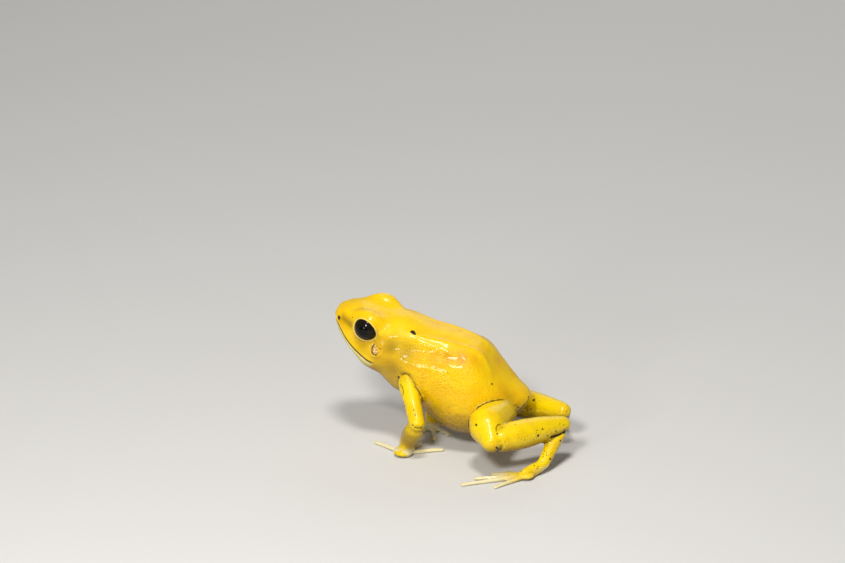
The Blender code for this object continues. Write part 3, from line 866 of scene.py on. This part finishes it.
@dataclass
class Eyelids(Feature):
    """The rims of the lids, which open over the eyeballs."""

    half_angles: Pair = (65.0, 47.0)
    corner: Bump = (4.0, -4.0, 20.0)
    hidden: float = 2.35
    rim: float = 2.9
    edge: Pair = (-0.14, 0.04)
    roll: Bump = (0.09, 0.16, 0.13)
    clear: Pair = (0.2, 0.9)
    blend: Pair = (0.3, 2.0)
    fade: Pair = (3.4, 5.0)
    extent: float = 5.2
    behind: float = -0.2
    groove: tuple[Place, ...] = ((2.9, 3.0, 2.2), (0.7, 3.0, 3.0), (-1.6, 3.0, 3.6))
    groove_reach: Pair = (2.4, 1.0)
    fill_rounds: int = 150
    even_rounds: int = 12

    def outside(self, surface: Surface, side: Side) -> tuple[np.ndarray, np.ndarray, np.ndarray]:
        """Measure the points against the opening of the lids.

        Args:
            surface: The skin.
            side: Which eye.

        Returns:
            How far they lie outside the opening, their distance from the middle of the eye,
            and their offset from it.
        """
        socket = self.anatomy.socket(side)
        offset = surface.co - socket.centre
        reach = np.linalg.norm(offset, axis=1)
        angle = np.arccos(np.clip(offset @ socket.gaze / reach, -1.0, 1.0))
        around = np.arctan2(-offset @ socket.short_axis * side.value, offset @ socket.long_axis)
        wide, tall = (math.radians(half) for half in self.half_angles)
        size = 1.0 / np.hypot(np.cos(around) / wide, np.sin(around) / tall)
        more, turn, spread = self.corner
        size += math.radians(more) * swell(np.degrees(around), turn, spread)
        return (angle - size) * self.rim, reach, offset

    def shape(self, surface: Surface) -> None:
        """Open the lids, with a rolled rim that lies against the eyeball."""
        height, middle, width = self.roll
        for side in Side:
            outside, reach, offset = self.outside(surface, side)
            lid = self.hidden + (self.rim - self.hidden) * smoothstep(*self.edge, outside)
            lid += height * swell(outside, middle, width)
            far = smoothstep(*self.fade, reach) * smoothstep(*self.clear, outside)
            keep = np.maximum(smoothstep(*self.blend, outside), far)
            target = lid * (1.0 - keep) + reach * keep
            ahead = offset @ self.anatomy.socket(side).gaze > self.behind * reach
            move = np.where((reach < self.extent) & ahead, target / reach - 1.0, 0.0)
            surface.co = surface.co + offset * move[:, None]
            groove = self.anatomy.head_places(self.groove, side)
            around = smoothstep(*self.groove_reach, surface.near_path(groove)[0])
            surface.push(np.clip(surface.concavity(self.fill_rounds), 0.0, None) * around)
            surface.even(self.even_rounds, around)

    def mark(self, surface: Surface) -> None:
        """Keep the distance from the rim of the nearer eye."""
        outside = [np.where(reach < self.extent, away, FAR)
                   for away, reach, _ in (self.outside(surface, side) for side in Side)]
        surface.keep("lid", np.min(outside, axis=0))


@dataclass
class Face(Feature):
    """The nostrils, and the hollow between each nostril and eye."""

    nostril: Place = (5.9, 2.8, -2.25)
    nostril_dip: Pair = (0.5, 0.4)
    nostril_ring: Bump = (0.05, 0.8, 0.16)
    hollow_path: tuple[Place, Place] = ((2.9, 4.6, -1.2), (5.2, 3.3, -1.7))
    hollow: Pair = (0.42, 0.75)
    shade_spread: float = 1.0
    brow_path: tuple[Place, Place] = ((2.7, 3.9, 0.9), (6.2, 2.2, -0.55))
    brow: Pair = (0.12, 0.7)

    def near_nostril(self, surface: Surface, side: Side) -> np.ndarray:
        """Measure the points against one nostril.

        Args:
            surface: The skin.
            side: Which nostril.

        Returns:
            The distance of each point from its middle on the skin of the snout.
        """
        ahead, out, high = self.nostril
        way = self.anatomy.head_way((out, side.value * out, 0.0))
        way /= np.linalg.norm(way)
        offset = surface.co - self.anatomy.head_places(((ahead - out, 0.0, high),), side)
        along = offset @ way
        apart = np.linalg.norm(offset - np.outer(along, way), axis=1)
        return surface.near(surface.co[np.argmin(np.where(along > 1.0, apart, np.inf))].copy())

    def along(self, surface: Surface, path: tuple[Place, Place], side: Side, spread: float) -> np.ndarray:
        """A soft band along a line on one side of the face.

        Args:
            surface: The skin.
            path: The ends of the line, on the head.
            side: Which side.
            spread: How far from the line it falls to about a third.

        Returns:
            How fully each point lies in the band.
        """
        points = self.anatomy.head_places(path, side)
        return swell(surface.near_path(points)[0], 0.0, spread)

    def shape(self, surface: Surface) -> None:
        """Sink the nostrils and the hollows, and raise the edges above them."""
        depth, spread = self.hollow
        height, width = self.brow
        sunk, reach = self.nostril_dip
        raised, away, narrow = self.nostril_ring
        for side in Side:
            surface.push(height * self.along(surface, self.brow_path, side, width)
                         - depth * self.along(surface, self.hollow_path, side, spread))
            distance = self.near_nostril(surface, side)
            surface.push(raised * swell(distance, away, narrow) - sunk * swell(distance, 0.0, reach))

    def mark(self, surface: Surface) -> None:
        """Keep the distance from the nostrils, and the painted shade of the hollows."""
        nostrils = [self.near_nostril(surface, side) for side in Side]
        hollows = [self.along(surface, self.hollow_path, side, self.shade_spread) for side in Side]
        surface.keep("nostril", np.min(nostrils, axis=0))
        surface.keep("lore", np.max(hollows, axis=0))


@dataclass
class Eardrums(Feature):
    """The sunken eardrum behind each eye, in its low ring."""

    middle: Pair = (-4.35, -2.15)
    radii: Pair = (1.2, 1.5)
    least_left: float = 3.0
    depth: float = 0.16
    floor_share: float = 0.4
    floor_edge: Pair = (0.65, 1.0)
    ring: Bump = (0.06, 1.15, 0.15)
    deepest: Pair = (0.85, 0.16)
    deepest_ahead: Pair = (0.0, 0.6)
    edge: Pair = (0.62, -0.78)

    def measure(self, surface: Surface) -> tuple[np.ndarray, np.ndarray]:
        """Distance from the nearer eardrum's middle as a share of its size, and towards its edge."""
        forward, left, up = self.anatomy.on_head(surface.co)
        ahead = (forward - self.middle[0]) / self.radii[0]
        above = (up - self.middle[1]) / self.radii[1]
        share = np.where(np.abs(left) > self.least_left, np.hypot(ahead, above), FAR)
        return share, ahead * self.edge[0] + above * self.edge[1]

    def shape(self, surface: Surface) -> None:
        """Sink the eardrum most along its lower front edge, and raise the ring."""
        share, ahead = self.measure(surface)
        inside = 1.0 - smoothstep(*self.floor_edge, share)
        front = swell(share, *self.deepest) * smoothstep(*self.deepest_ahead, ahead)
        height, middle, width = self.ring
        sunk = self.depth * (self.floor_share * inside + front)
        surface.push(height * swell(share, middle, width) - sunk)

    def mark(self, surface: Surface) -> None:
        """Keep the two measures."""
        share, ahead = self.measure(surface)
        surface.keep("drum", share)
        surface.keep("drum_ahead", ahead)


@dataclass
class Mouth(Feature):
    """The line of the mouth between its two lips."""

    line: tuple[Pair, ...] = (
        (-4.3, -5.8), (-1.8, -5.35), (0.8, -4.95), (2.6, -4.5),
        (4.1, -3.95), (5.6, -3.4), (7.5, -3.1), (10.0, -3.0),
    )
    corner: Pair = (-5.0, -4.1)
    cut: Pair = (0.34, 0.14)
    lips: tuple[Pair, Pair] = ((0.45, 0.22), (-0.42, 0.2))
    lip_height: float = 0.07

    def measure(self, surface: Surface) -> tuple[np.ndarray, np.ndarray]:
        """Height above the line of the mouth, and how fully the mouth is there."""
        forward, _, up = self.anatomy.on_head(surface.co)
        places, heights = zip(*self.line)
        return up - np.interp(forward, places, heights), smoothstep(*self.corner, forward)

    def shape(self, surface: Surface) -> None:
        """Cut the line and round the lips."""
        above, there = self.measure(surface)
        depth, spread = self.cut
        lips = sum(swell(above, *lip) for lip in self.lips)
        surface.push(there * (self.lip_height * lips - depth * swell(above, 0.0, spread)))

    def mark(self, surface: Surface) -> None:
        """Keep the height above the line and how fully it is there."""
        above, there = self.measure(surface)
        surface.keep("above_mouth", above)
        surface.keep("mouth", there)


@dataclass
class Digits(Feature):
    """The fingers and toes, paler towards their tips.

    A palm has its place, and how far from it the paling starts and ends.
    """

    palms: tuple[tuple[Place, float, float], ...] = (
        ((-24.4, -11.1, 0.8), 3.5, 8.0), ((-22.2, 3.3, 0.8), 3.5, 8.0),
        ((3.3, -15.2, 0.8), 0.5, 7.5), ((1.2, 12.6, 0.8), 0.5, 7.5),
    )
    reach: float = 16.0
    low: Pair = (2.2, 1.3)

    def mark(self, surface: Surface) -> None:
        """Keep how near each point is to the tip of its digit."""
        pale = np.zeros(len(surface.co))
        for centre, start, end in self.palms:
            flat = np.linalg.norm((surface.co - self.anatomy.place(centre))[:, :2], axis=1)
            low = smoothstep(*self.low, surface.co[:, 2])
            pale = np.maximum(pale, np.where(flat < self.reach, low * smoothstep(start, end, flat), 0.0))
        surface.keep("tip", pale)


@dataclass
class Skin:
    """The whole skin: the plain shell and all its features."""

    anatomy: Anatomy
    tree: BVHTree | None = None

    def build(self) -> bpy.types.Object:
        """Model the skin.

        Returns:
            The finished piece, in place of the solids of the flesh.
        """
        shell = Shell(self.anatomy)
        surface = shell.build()
        kinds = (Ridges, Creases, Hollows, Texture, Shades, Face, Eardrums, Eyelids, Mouth, Digits)
        features = [kind(self.anatomy) for kind in kinds]
        for feature in features:
            feature.shape(surface)
        low, high = (np.array(corner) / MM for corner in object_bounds())
        surface.co = np.clip(surface.co, low, high)
        for feature in features:
            feature.mark(surface)
        self.tree = surface.tree()
        surface.co *= MM
        surface.store()
        surface.mesh.shade_smooth()
        skin = linked("skin", surface.mesh)
        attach(skin, "root")
        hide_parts(*(member for members in shell.groups().values() for member in members))
        return skin

    def nearest(self, place: np.ndarray) -> np.ndarray:
        """The place on the finished skin that is nearest to a place."""
        return np.array(self.tree.find_nearest(place)[0])


class Socket:
    """An output of a shader node. Arithmetic on it adds Math nodes."""

    def __init__(self, graph: "Graph", output: bpy.types.NodeSocket) -> None:
        """Wrap one output of a node."""
        self.graph = graph
        self.output = output

    def math(self, operation: str, *values: "Socket | float") -> "Socket":
        """Add one Math node on some values."""
        return self.graph.node("ShaderNodeMath", {"operation": operation}, dict(enumerate(values)))

    def __add__(self, other: "Socket | float") -> "Socket":
        """Sum."""
        return self.math("ADD", self, other)

    __radd__ = __add__

    def __mul__(self, other: "Socket | float") -> "Socket":
        """Product."""
        return self.math("MULTIPLY", self, other)

    __rmul__ = __mul__

    def __sub__(self, other: "Socket | float") -> "Socket":
        """Difference."""
        return self.math("SUBTRACT", self, other)

    def __rsub__(self, other: "Socket | float") -> "Socket":
        """Difference from a number."""
        return self.math("SUBTRACT", other, self)

    def __abs__(self) -> "Socket":
        """Size without its sign."""
        return self.math("ABSOLUTE", self)

    def larger(self, other: "Socket | float") -> "Socket":
        """The larger of two values."""
        return self.math("MAXIMUM", self, other)

    def step(self, low: float, high: float) -> "Socket":
        """A soft step from 0 at low to 1 at high, which may be the smaller."""
        flipped = low > high
        share = self.graph.node(
            "ShaderNodeMapRange", {"interpolation_type": "SMOOTHSTEP"},
            {"Value": self, "From Min": min(low, high), "From Max": max(low, high)})
        return 1.0 - share if flipped else share


class Graph:
    """The node tree of one material, with its place on the object in millimetres."""

    def __init__(self, name: str) -> None:
        """Start a material with its Principled shader."""
        self.material = bpy.data.materials.new(name)
        self.material.use_nodes = True
        self.tree = self.material.node_tree
        self.shader = self.tree.nodes["Principled BSDF"]
        place = self.node("ShaderNodeTexCoord", {}, {}, "Object")
        self.place = self.vector("SCALE", {0: place, "Scale": 1.0 / MM})

    def node(self, kind: str, settings: dict, inputs: dict, output: int | str = 0) -> Socket:
        """Add a node.

        Args:
            kind: The type of the node.
            settings: Its settings.
            inputs: The value or link of each socket, by name or number.
            output: Which output is wanted.

        Returns:
            That output.
        """
        node = self.tree.nodes.new(kind)
        for name, value in settings.items():
            setattr(node, name, value)
        for key, value in inputs.items():
            if isinstance(value, Socket):
                self.tree.links.new(value.output, node.inputs[key])
            else:
                node.inputs[key].default_value = value
        return Socket(self, node.outputs[output])

    def attribute(self, name: str) -> Socket:
        """A number kept on the mesh."""
        return self.node("ShaderNodeAttribute", {"attribute_name": name}, {}, "Fac")

    def vector(self, operation: str, inputs: dict, output: str = "Vector") -> Socket:
        """Add one Vector Math node."""
        return self.node("ShaderNodeVectorMath", {"operation": operation}, inputs, output)

    def noise(self, size: float, detail: float = 2.0) -> Socket:
        """Soft noise whose patches are about one size across."""
        return self.node("ShaderNodeTexNoise", {},
                         {"Vector": self.place, "Scale": 1.0 / size, "Detail": detail})

    def cells(self, size: float, output: str = "Distance") -> Socket:
        """Cells of about one size across."""
        return self.node("ShaderNodeTexVoronoi", {"feature": "F1"},
                         {"Vector": self.place, "Scale": 1.0 / size}, output)

    def distance(self, point: np.ndarray) -> Socket:
        """How far each place is from a point."""
        return self.vector("DISTANCE", {0: self.place, 1: tuple(point)}, "Value")

    def segment(self, start: np.ndarray, end: np.ndarray) -> Socket:
        """Measure from a straight piece of line.

        Args:
            start: One end of the piece.
            end: Its other end.

        Returns:
            The distance of each place from the piece.
        """
        run = end - start
        offset = self.vector("SUBTRACT", {0: self.place, 1: tuple(start)})
        along = self.vector("DOT_PRODUCT", {0: offset, 1: tuple(run / (run @ run))}, "Value")
        share = self.node("ShaderNodeClamp", {}, {"Value": along})
        nearest = self.vector("SCALE", {0: tuple(run), "Scale": share})
        return self.vector("DISTANCE", {0: offset, 1: nearest}, "Value")

    def mix(self, share: Socket, low: Socket | Colour, high: Socket | Colour) -> Socket:
        """Blend two colours by a share of the second."""
        low, high = (value if isinstance(value, Socket) else (*value, 1.0) for value in (low, high))
        return self.node("ShaderNodeMix", {"data_type": "RGBA"}, {0: share, 6: low, 7: high}, 2)

    def layered(self, colour: Socket, *layers: tuple[Socket, Socket | Colour]) -> Socket:
        """Lay shades over a colour, one after another.

        Args:
            colour: What lies under them.
            layers: How much of each shade there is, with the shade.

        Returns:
            The colour on top.
        """
        for share, shade in layers:
            colour = self.mix(share, colour, shade)
        return colour

    def bump(self, height: Socket, distance: float) -> Socket:
        """Relief on the surface, its distance in millimetres."""
        return self.node("ShaderNodeBump", {},
                         {"Strength": 1.0, "Distance": distance * MM, "Height": height}, "Normal")

    def dress(self, **values: Socket | float | Colour) -> bpy.types.Material:
        """Set sockets of the Principled shader, with spaces written as underscores."""
        for name, value in values.items():
            target = self.shader.inputs[name.replace("_", " ")]
            if isinstance(value, Socket):
                self.tree.links.new(value.output, target)
            elif isinstance(value, tuple) and target.type == "RGBA":
                target.default_value = (*value, 1.0)
            else:
                target.default_value = value
        return self.material


@dataclass(frozen=True)
class SkinFinish:
    """Moist yellow skin, grainy on the flanks, with dark specks and a few spots, and painted shade in
    hollows, creases and folds and on the undersides.
    """

    back: Colour = (0.93, 0.6, 0.001)
    back_deep: Colour = (0.9, 0.53, 0.001)
    orange: Colour = (0.84, 0.45, 0.001)
    brown: Colour = (0.62, 0.25, 0.002)
    limb: Colour = (0.9, 0.63, 0.002)
    limb_deep: Colour = (0.84, 0.55, 0.002)
    olive: Colour = (0.22, 0.115, 0.001)
    # The colour of the painted shade on the undersides and in the hollows
    fold: Colour = (0.24, 0.14, 0.002)
    # The colour of the painted shade in the creases and along the folds
    seam: Colour = (0.016, 0.008, 0.002)
    line: Colour = (0.2, 0.07, 0.003)
    cream: Colour = (0.82, 0.76, 0.5)
    lip: Colour = (0.68, 0.62, 0.24)
    rim: Colour = (0.95, 0.74, 0.16)
    dark: Colour = (0.025, 0.014, 0.006)
    drum: Colour = (0.86, 0.6, 0.34)
    speck: Colour = (0.09, 0.045, 0.01)
    patch_size: float = 3.5
    crowd_size: float = 2.4
    speck_size: float = 0.6
    grain_size: float = 0.55
    fleck_size: float = 0.42
    edge_size: float = 0.4
    fine_size: float = 0.35
    pit_size: float = 0.32
    edge_uneven: Pair = (0.35, 0.14)
    relief: float = 0.17
    spot_edge: Pair = (0.06, 0.06)
    line_edge: Pair = (0.06, 0.04)
    speck_radius: Pair = (-0.06, 0.36)
    # The skin's own black spots, save the two on the arm's edge near (-24.7, -10.0, 11.6) and (-24.4, -10.6,
    # 11.0), which are partly the skin's own marks and partly painted shade
    spots: tuple[tuple[Place, float], ...] = (
        ((-24.3, -4.5, 25.1), 0.5), ((-23.9, -4.7, 24.8), 0.42), ((-11.2, 2.2, 22.5), 0.2),
        ((-6.8, -5.4, 16.0), 0.18), ((-7.2, -16.4, 11.4), 0.26), ((-2.4, -17.1, 10.3), 0.18),
        ((5.0, -12.0, 8.6), 0.28), ((6.5, -10.0, 7.9), 0.16), ((5.6, -10.7, 9.6), 0.17),
        ((7.8, -8.2, 8.3), 0.14), ((8.7, -7.8, 6.0), 0.22), ((7.4, -10.9, 3.0), 0.24),
        ((4.6, -13.7, 2.4), 0.15), ((5.4, -13.4, 2.2), 0.14), ((-26.4, -7.1, 15.9), 0.26),
        ((-21.3, -12.7, 10.3), 0.17), ((-21.9, -12.1, 11.1), 0.13), ((-24.7, -10.0, 11.6), 0.24),
        ((-24.4, -10.6, 11.0), 0.3), ((-21.5, -14.1, 8.5), 0.15), ((-0.8, 5.5, 8.3), 0.3),
        ((-37.58, -3.68, 26.63), 0.15),
    )
    # Painted shade: dark strokes in the notch of the knee and the fold of the heel, along the edge of the
    # rump, and on the belly beside the thigh
    lines: tuple[Mark, ...] = (
        (((-2.2, -18.6, 7.9), (-2.0, -17.4, 7.0)), 0.2),
        (((-0.4, -0.2, 11.7), (-0.3, -1.0, 11.0), (-0.7, -2.1, 10.5)), 0.1),
        (((-0.7, -2.1, 10.5), (-1.2, -3.2, 10.0), (-1.7, -4.4, 9.7)), 0.16),
        (((7.0, -8.8, 7.0), (8.0, -7.2, 7.0), (9.4, -5.9, 7.4)), 0.2),
        (((-11.25, -7.3, 6.4), (-11.0, -8.2, 8.1), (-10.0, -8.5, 9.95), (-8.85, -8.2, 11.8)), 0.16),
    )
    # Thin brown strokes: the first, on the upper arm, is a mark of the skin's own; the rest are painted
    # shade in the creases of shoulder and knee and in the grooves behind the thigh
    brown_lines: tuple[Mark, ...] = (
        (((-25.8, -8.0, 14.6), (-25.2, -8.9, 14.2), (-24.9, -9.3, 13.6), (-25.0, -9.5, 12.8)), 0.1),
        (((-26.6, -6.9, 16.0), (-26.5, -7.1, 14.6), (-26.0, -7.6, 13.6)), 0.16),
        (((-2.4, -14.7, 11.5), (-2.8, -15.4, 11.5), (-2.9, -16.2, 11.3), (-2.7, -16.8, 10.8)), 0.1),
        (((-2.3, -5.2, 10.6), (-1.8, -4.6, 10.0)), 0.1),
        (((-1.6, -4.3, 11.0), (-1.3, -3.6, 10.4)), 0.1),
        (((-2.0, -4.9, 11.6), (-1.6, -4.2, 11.6)), 0.08),
    )

    def material(self, skin: Skin) -> bpy.types.Material:
        """Build the finish.

        Args:
            skin: The piece that it is for, which holds the places of the spots and folds.

        Returns:
            The material of the skin.
        """
        graph = Graph("frog_skin")
        grain = graph.attribute("grain")
        grains = graph.cells(self.grain_size)
        fine = graph.noise(self.fine_size, 3.0)
        spots = [((point,), size) for point, size in self.spots]
        rough, waver = (share * (graph.noise(self.edge_size) - 0.5) for share in self.edge_uneven)
        colour = graph.layered(
            self.face(graph, self.ground(graph, grain, grains)),
            (self.specks(graph), self.speck),
            # Brown strokes: one mark of the skin's own, the rest painted shade in creases and grooves
            (self.drawn(graph, skin, self.brown_lines, waver), self.line),
            # The skin's own dark spots, two of them partly painted shade
            (self.drawn(graph, skin, spots, rough), self.dark),
            # Painted shade: the dark strokes in creases and along overlapping edges
            (self.drawn(graph, skin, self.lines, waver), self.dark))
        pits = (1.0 - graph.cells(self.pit_size)) * (0.1 + 0.9 * grain)
        return graph.dress(
            Base_Color=colour,
            Roughness=0.34 - 0.17 * grain.step(0.1, 0.6) - 0.06 * graph.attribute("limb") + 0.1 * fine,
            Coat_Weight=0.32,
            Coat_Roughness=0.1,
            IOR=1.29,
            Subsurface_Weight=0.1,
            Subsurface_Radius=(1.0, 0.55, 0.1),
            Subsurface_Scale=0.5 * MM,
            Normal=graph.bump((1.0 - grains) * grain * 0.8 + pits + fine * 0.3, self.relief),
        )

    def ground(self, graph: Graph, grain: Socket, grains: Socket) -> Socket:
        """The yellows of body, flank and limbs, the pale tips, and painted shade in the hollows, on the
        undersides, in the creases and along the folds.

        Args:
            graph: The material.
            grain: How grainy the skin is.
            grains: The distance from the middle of each grain.

        Returns:
            The colour.
        """
        patches = graph.noise(self.patch_size)
        limbs = graph.mix(patches.step(0.45, 0.75), self.limb, self.limb_deep)
        # Painted shade in the creases between parts and along the folds
        crease_shade = reduce(Socket.larger, [
            (abs(graph.attribute(seam.label)) + patches * 0.12).step(0.24, 0.12) for seam in Seam])
        folds = (graph.attribute("fold") + patches * 0.2).step(0.28, 0.14)
        return graph.layered(
            graph.mix(patches.step(0.35, 0.7), self.back, self.back_deep),
            (graph.attribute("limb"), limbs),
            (grain * patches.step(0.45, 0.65) * 0.4, self.orange),
            # Painted shade, in a browner tone, in the hollows under the ridges
            (graph.attribute("tan") * (0.5 + grains * 0.7), self.brown),
            (grain.step(0.5, 1.0) * grains.step(0.5, 0.85) * 0.14, self.brown),
            # Painted shade in the regions that lie in shadow
            (graph.attribute("dusky"), self.olive),
            # Painted shade on the undersides and in the hollows
            (graph.attribute("under") * 0.85, self.fold),
            (graph.attribute("hollow") * 0.35, self.fold),
            (graph.attribute("tip") * (0.7 + 0.3 * patches), self.cream),
            # Painted shade in the creases and along the folds
            (folds.larger(crease_shade * graph.attribute("seam_strength")), self.seam))

    def face(self, graph: Graph, colour: Socket) -> Socket:
        """The colours of lids, lips, mouth line, nostrils and eardrums, and the painted shade of the lores.

        Args:
            graph: The material.
            colour: The colour under them.

        Returns:
            The colour with them.
        """
        mouth, above, lid, drum, ahead = (
            graph.attribute(name) for name in ("mouth", "above_mouth", "lid", "drum", "drum_ahead"))
        flecks = graph.cells(self.fleck_size).step(0.46, 0.34)
        crescent = abs(drum - 0.92).step(0.14, 0.05) * ahead.step(-0.05, 0.45)
        return graph.layered(
            colour,
            # Painted shade in the hollow between nostril and eye
            (graph.attribute("lore") * 0.85, self.olive),
            (mouth * above.step(-0.05, -0.2) * above.step(-1.4, -1.0) * 0.85, self.lip),
            (mouth * abs(above).step(0.22, 0.08), self.dark),
            (lid.step(0.36, 0.18) * 0.7, self.rim),
            (lid.step(0.04, -0.04), self.dark),
            (drum.step(0.95, 0.5) * ahead.step(-0.35, 0.45) * 0.8, self.drum),
            (drum.step(0.9, 0.7) * flecks * 0.8, self.line),
            (crescent * 0.9, self.dark),
            (graph.attribute("nostril").step(0.62, 0.5), self.dark))

    def specks(self, graph: Graph) -> Socket:
        """Tiny dark specks, crowded on the lower flanks and the lower legs.

        Args:
            graph: The material.

        Returns:
            How dark they make each place.
        """
        near = graph.cells(self.speck_size)
        chance = graph.cells(self.speck_size, "Color")
        least, more = self.speck_radius
        radius = graph.node("ShaderNodeSeparateColor", {}, {"Color": chance}) * more + least
        dot = (near - radius).step(0.04, -0.04)
        crowd = graph.noise(self.crowd_size).step(0.34, 0.56)
        return dot * crowd * graph.attribute("specks") * 0.8

    def drawn(self, graph: Graph, skin: Skin, marks: Iterable[Mark], uneven: Socket) -> Socket:
        """Draw some spots, or thin strokes such as the painted shade along folds.

        Args:
            graph: The material.
            skin: The piece on which their places are found.
            marks: The places of each, one for a spot and more for a stroke, and its half width.
            uneven: Noise that makes their edges uneven.

        Returns:
            1 on the marks and 0 elsewhere.
        """
        masks = []
        for places, size in marks:
            points = [skin.nearest(point) for point in skin.anatomy.place(places)]
            spot = len(points) == 1
            outer, inner = self.spot_edge if spot else self.line_edge
            away = [graph.distance(points[0])] if spot else map(graph.segment, points, points[1:])
            masks += [(distance + uneven).step(size + outer, size - inner) for distance in away]
        return reduce(Socket.larger, masks)


@dataclass
class Eyes:
    """The two glossy black eyes."""

    anatomy: Anatomy
    iris_colour: Colour = (0.012, 0.007, 0.004)
    pupil_colour: Colour = (0.002, 0.002, 0.002)
    iris_angles: Pair = (0.38, 0.46)
    uneven_angle: float = 0.08
    uneven_size: float = 0.4
    segments: int = 64
    rings: int = 40

    def build(self) -> list[bpy.types.Object]:
        """Model both eyeballs and give them their finish."""
        material = self.material()
        return [self.eyeball(side, material) for side in Side]

    def eyeball(self, side: Side, material: bpy.types.Material) -> bpy.types.Object:
        """Model one eyeball with its pole on the gaze.

        Args:
            side: Which side.
            material: Its finish.

        Returns:
            The finished piece.
        """
        socket = self.anatomy.socket(side)
        axes = Matrix([socket.long_axis, socket.short_axis, socket.gaze]).transposed().to_4x4()
        radius = self.anatomy.eye_radius()
        bm = bmesh.new()
        bmesh.ops.create_uvsphere(
            bm, u_segments=self.segments, v_segments=self.rings, radius=radius * MM,
            matrix=Matrix.Translation(Vector(socket.centre) * MM) @ axes)
        bmesh.ops.recalc_face_normals(bm, faces=bm.faces)
        name = f"eyeball_{side.label}"
        mesh = mesh_of(name, bm)
        surface = Surface(mesh)
        ahead = (surface.co / MM - socket.centre) @ socket.gaze / radius
        surface.keep("from_gaze", np.arccos(np.clip(ahead, -1.0, 1.0)))
        mesh.shade_smooth()
        mesh.materials.append(material)
        eye = linked(name, mesh)
        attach(eye, "root")
        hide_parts(f"eye_{side.label}")
        return eye

    def material(self) -> bpy.types.Material:
        """Wet black, with an iris only just lighter than the pupil."""
        graph = Graph("frog_eye")
        angle = graph.attribute("from_gaze") + self.uneven_angle * graph.noise(self.uneven_size)
        colour = graph.mix(angle.step(*self.iris_angles), self.pupil_colour, self.iris_colour)
        return graph.dress(Base_Color=colour, Roughness=0.04, IOR=1.28)


@dataclass(frozen=True)
class Lamp:
    """A square light that faces the frog.

    Turn is in degrees round from the camera to its right, rise in degrees above the floor,
    and power in watts.
    """

    name: str
    turn: float
    rise: float
    distance: float
    size: float
    power: float
    colour: Colour


@dataclass
class Studio:
    """Camera, floor and soft light."""

    anatomy: Anatomy
    azimuth: float = 16.0
    elevation: float = 24.0
    pixels_per_mm: float = 4.8
    image_size: tuple[int, int] = (845, 563)
    vent_pixel: Pair = (530.6, 397.0)
    vent_height: float = 11.5
    camera_distance: float = 3000.0
    floor_size: float = 8000.0
    floor_colour: Colour = (0.7, 0.69, 0.67)
    floor_deep: Colour = (0.66, 0.65, 0.63)
    floor_patch: float = 60.0
    floor_uneven: float = 0.3
    room_colour: Colour = (0.88, 0.92, 0.98)
    room_light: float = 0.17
    lamps: tuple[Lamp, ...] = (
        Lamp("key", -18.0, 42.0, 450.0, 80.0, 1.15, (1.0, 0.98, 0.95)),
        Lamp("front", -34.0, 17.0, 450.0, 60.0, 0.25, (1.0, 0.98, 0.95)),
        Lamp("overhead", -4.0, 74.0, 500.0, 90.0, 1.15, (1.0, 0.98, 0.95)),
        Lamp("behind", 165.0, 30.0, 500.0, 320.0, 0.35, (1.0, 0.97, 0.92)),
    )

    def axes(self) -> tuple[Vector, Vector, Vector]:
        """The camera's right, up and backward directions."""
        back, right = direction(self.azimuth, self.elevation), direction(self.azimuth + 90.0, 0.0)
        return right, back.cross(right), back

    def build(self) -> None:
        """Set up everything round the frog."""
        self.camera()
        self.floor()
        for lamp in self.lamps:
            self.light(lamp)
        self.room()

    def camera(self) -> None:
        """Place the camera so that the vent falls on its pixel at the measured scale."""
        right, up, back = self.axes()
        wide, high = self.image_size
        target = Vector(self.anatomy.place((0.0, 0.0, self.vent_height)))
        target += right * (wide / 2 - self.vent_pixel[0]) / self.pixels_per_mm
        target -= up * (high / 2 - self.vent_pixel[1]) / self.pixels_per_mm
        data = bpy.data.cameras.new("camera")
        data.lens = data.sensor_width * self.camera_distance * self.pixels_per_mm / wide
        camera = linked("camera", data)
        turn = Matrix((right, up, back)).transposed().to_4x4()
        camera.matrix_world = Matrix.Translation((target + back * self.camera_distance) * MM) @ turn
        bpy.context.scene.camera = camera

    def floor(self) -> None:
        """Lay a plain pale floor."""
        bm = bmesh.new()
        bmesh.ops.create_grid(bm, x_segments=1, y_segments=1, size=self.floor_size / 2 * MM)
        floor = linked("floor", mesh_of("floor", bm))
        graph = Graph("pale_floor")
        share = graph.noise(self.floor_patch) * self.floor_uneven
        colour = graph.mix(share, self.floor_colour, self.floor_deep)
        floor.data.materials.append(graph.dress(Base_Color=colour, Roughness=0.85))
        floor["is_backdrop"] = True

    def light(self, lamp: Lamp) -> None:
        """Hang one light."""
        data = bpy.data.lights.new(lamp.name, "AREA")
        data.energy = lamp.power
        data.size = lamp.size * MM
        data.color = lamp.colour
        light = linked(lamp.name, data)
        way = direction(self.azimuth + lamp.turn, lamp.rise)
        light.location = (Vector((0.0, 0.0, self.vent_height)) + way * lamp.distance) * MM
        light.rotation_euler = way.to_track_quat("Z", "Y").to_euler()

    def room(self) -> None:
        """Fill the room with pale light, and keep colours as they are."""
        world = bpy.data.worlds.new("soft_room")
        bpy.context.scene.world = world
        world.use_nodes = True
        background = world.node_tree.nodes["Background"]
        background.inputs["Color"].default_value = (*self.room_colour, 1.0)
        background.inputs["Strength"].default_value = self.room_light
        bpy.context.scene.view_settings.view_transform = "Standard"


def main() -> None:
    """Build the frog, its floor and its light, one piece after another."""
    logging.basicConfig(level=logging.INFO)
    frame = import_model()
    anatomy = Anatomy(frame["nodes"])
    skin = Skin(anatomy)
    body = skin.build()
    body.data.materials.append(SkinFinish().material(skin))
    LOG.info("skin: %d faces", len(body.data.polygons))
    for eye in Eyes(anatomy).build():
        LOG.info("%s: %d faces", eye.name, len(eye.data.polygons))
    Studio(anatomy).build()
    LOG.info("camera, floor and light")


if __name__ == "__main__":
    main()
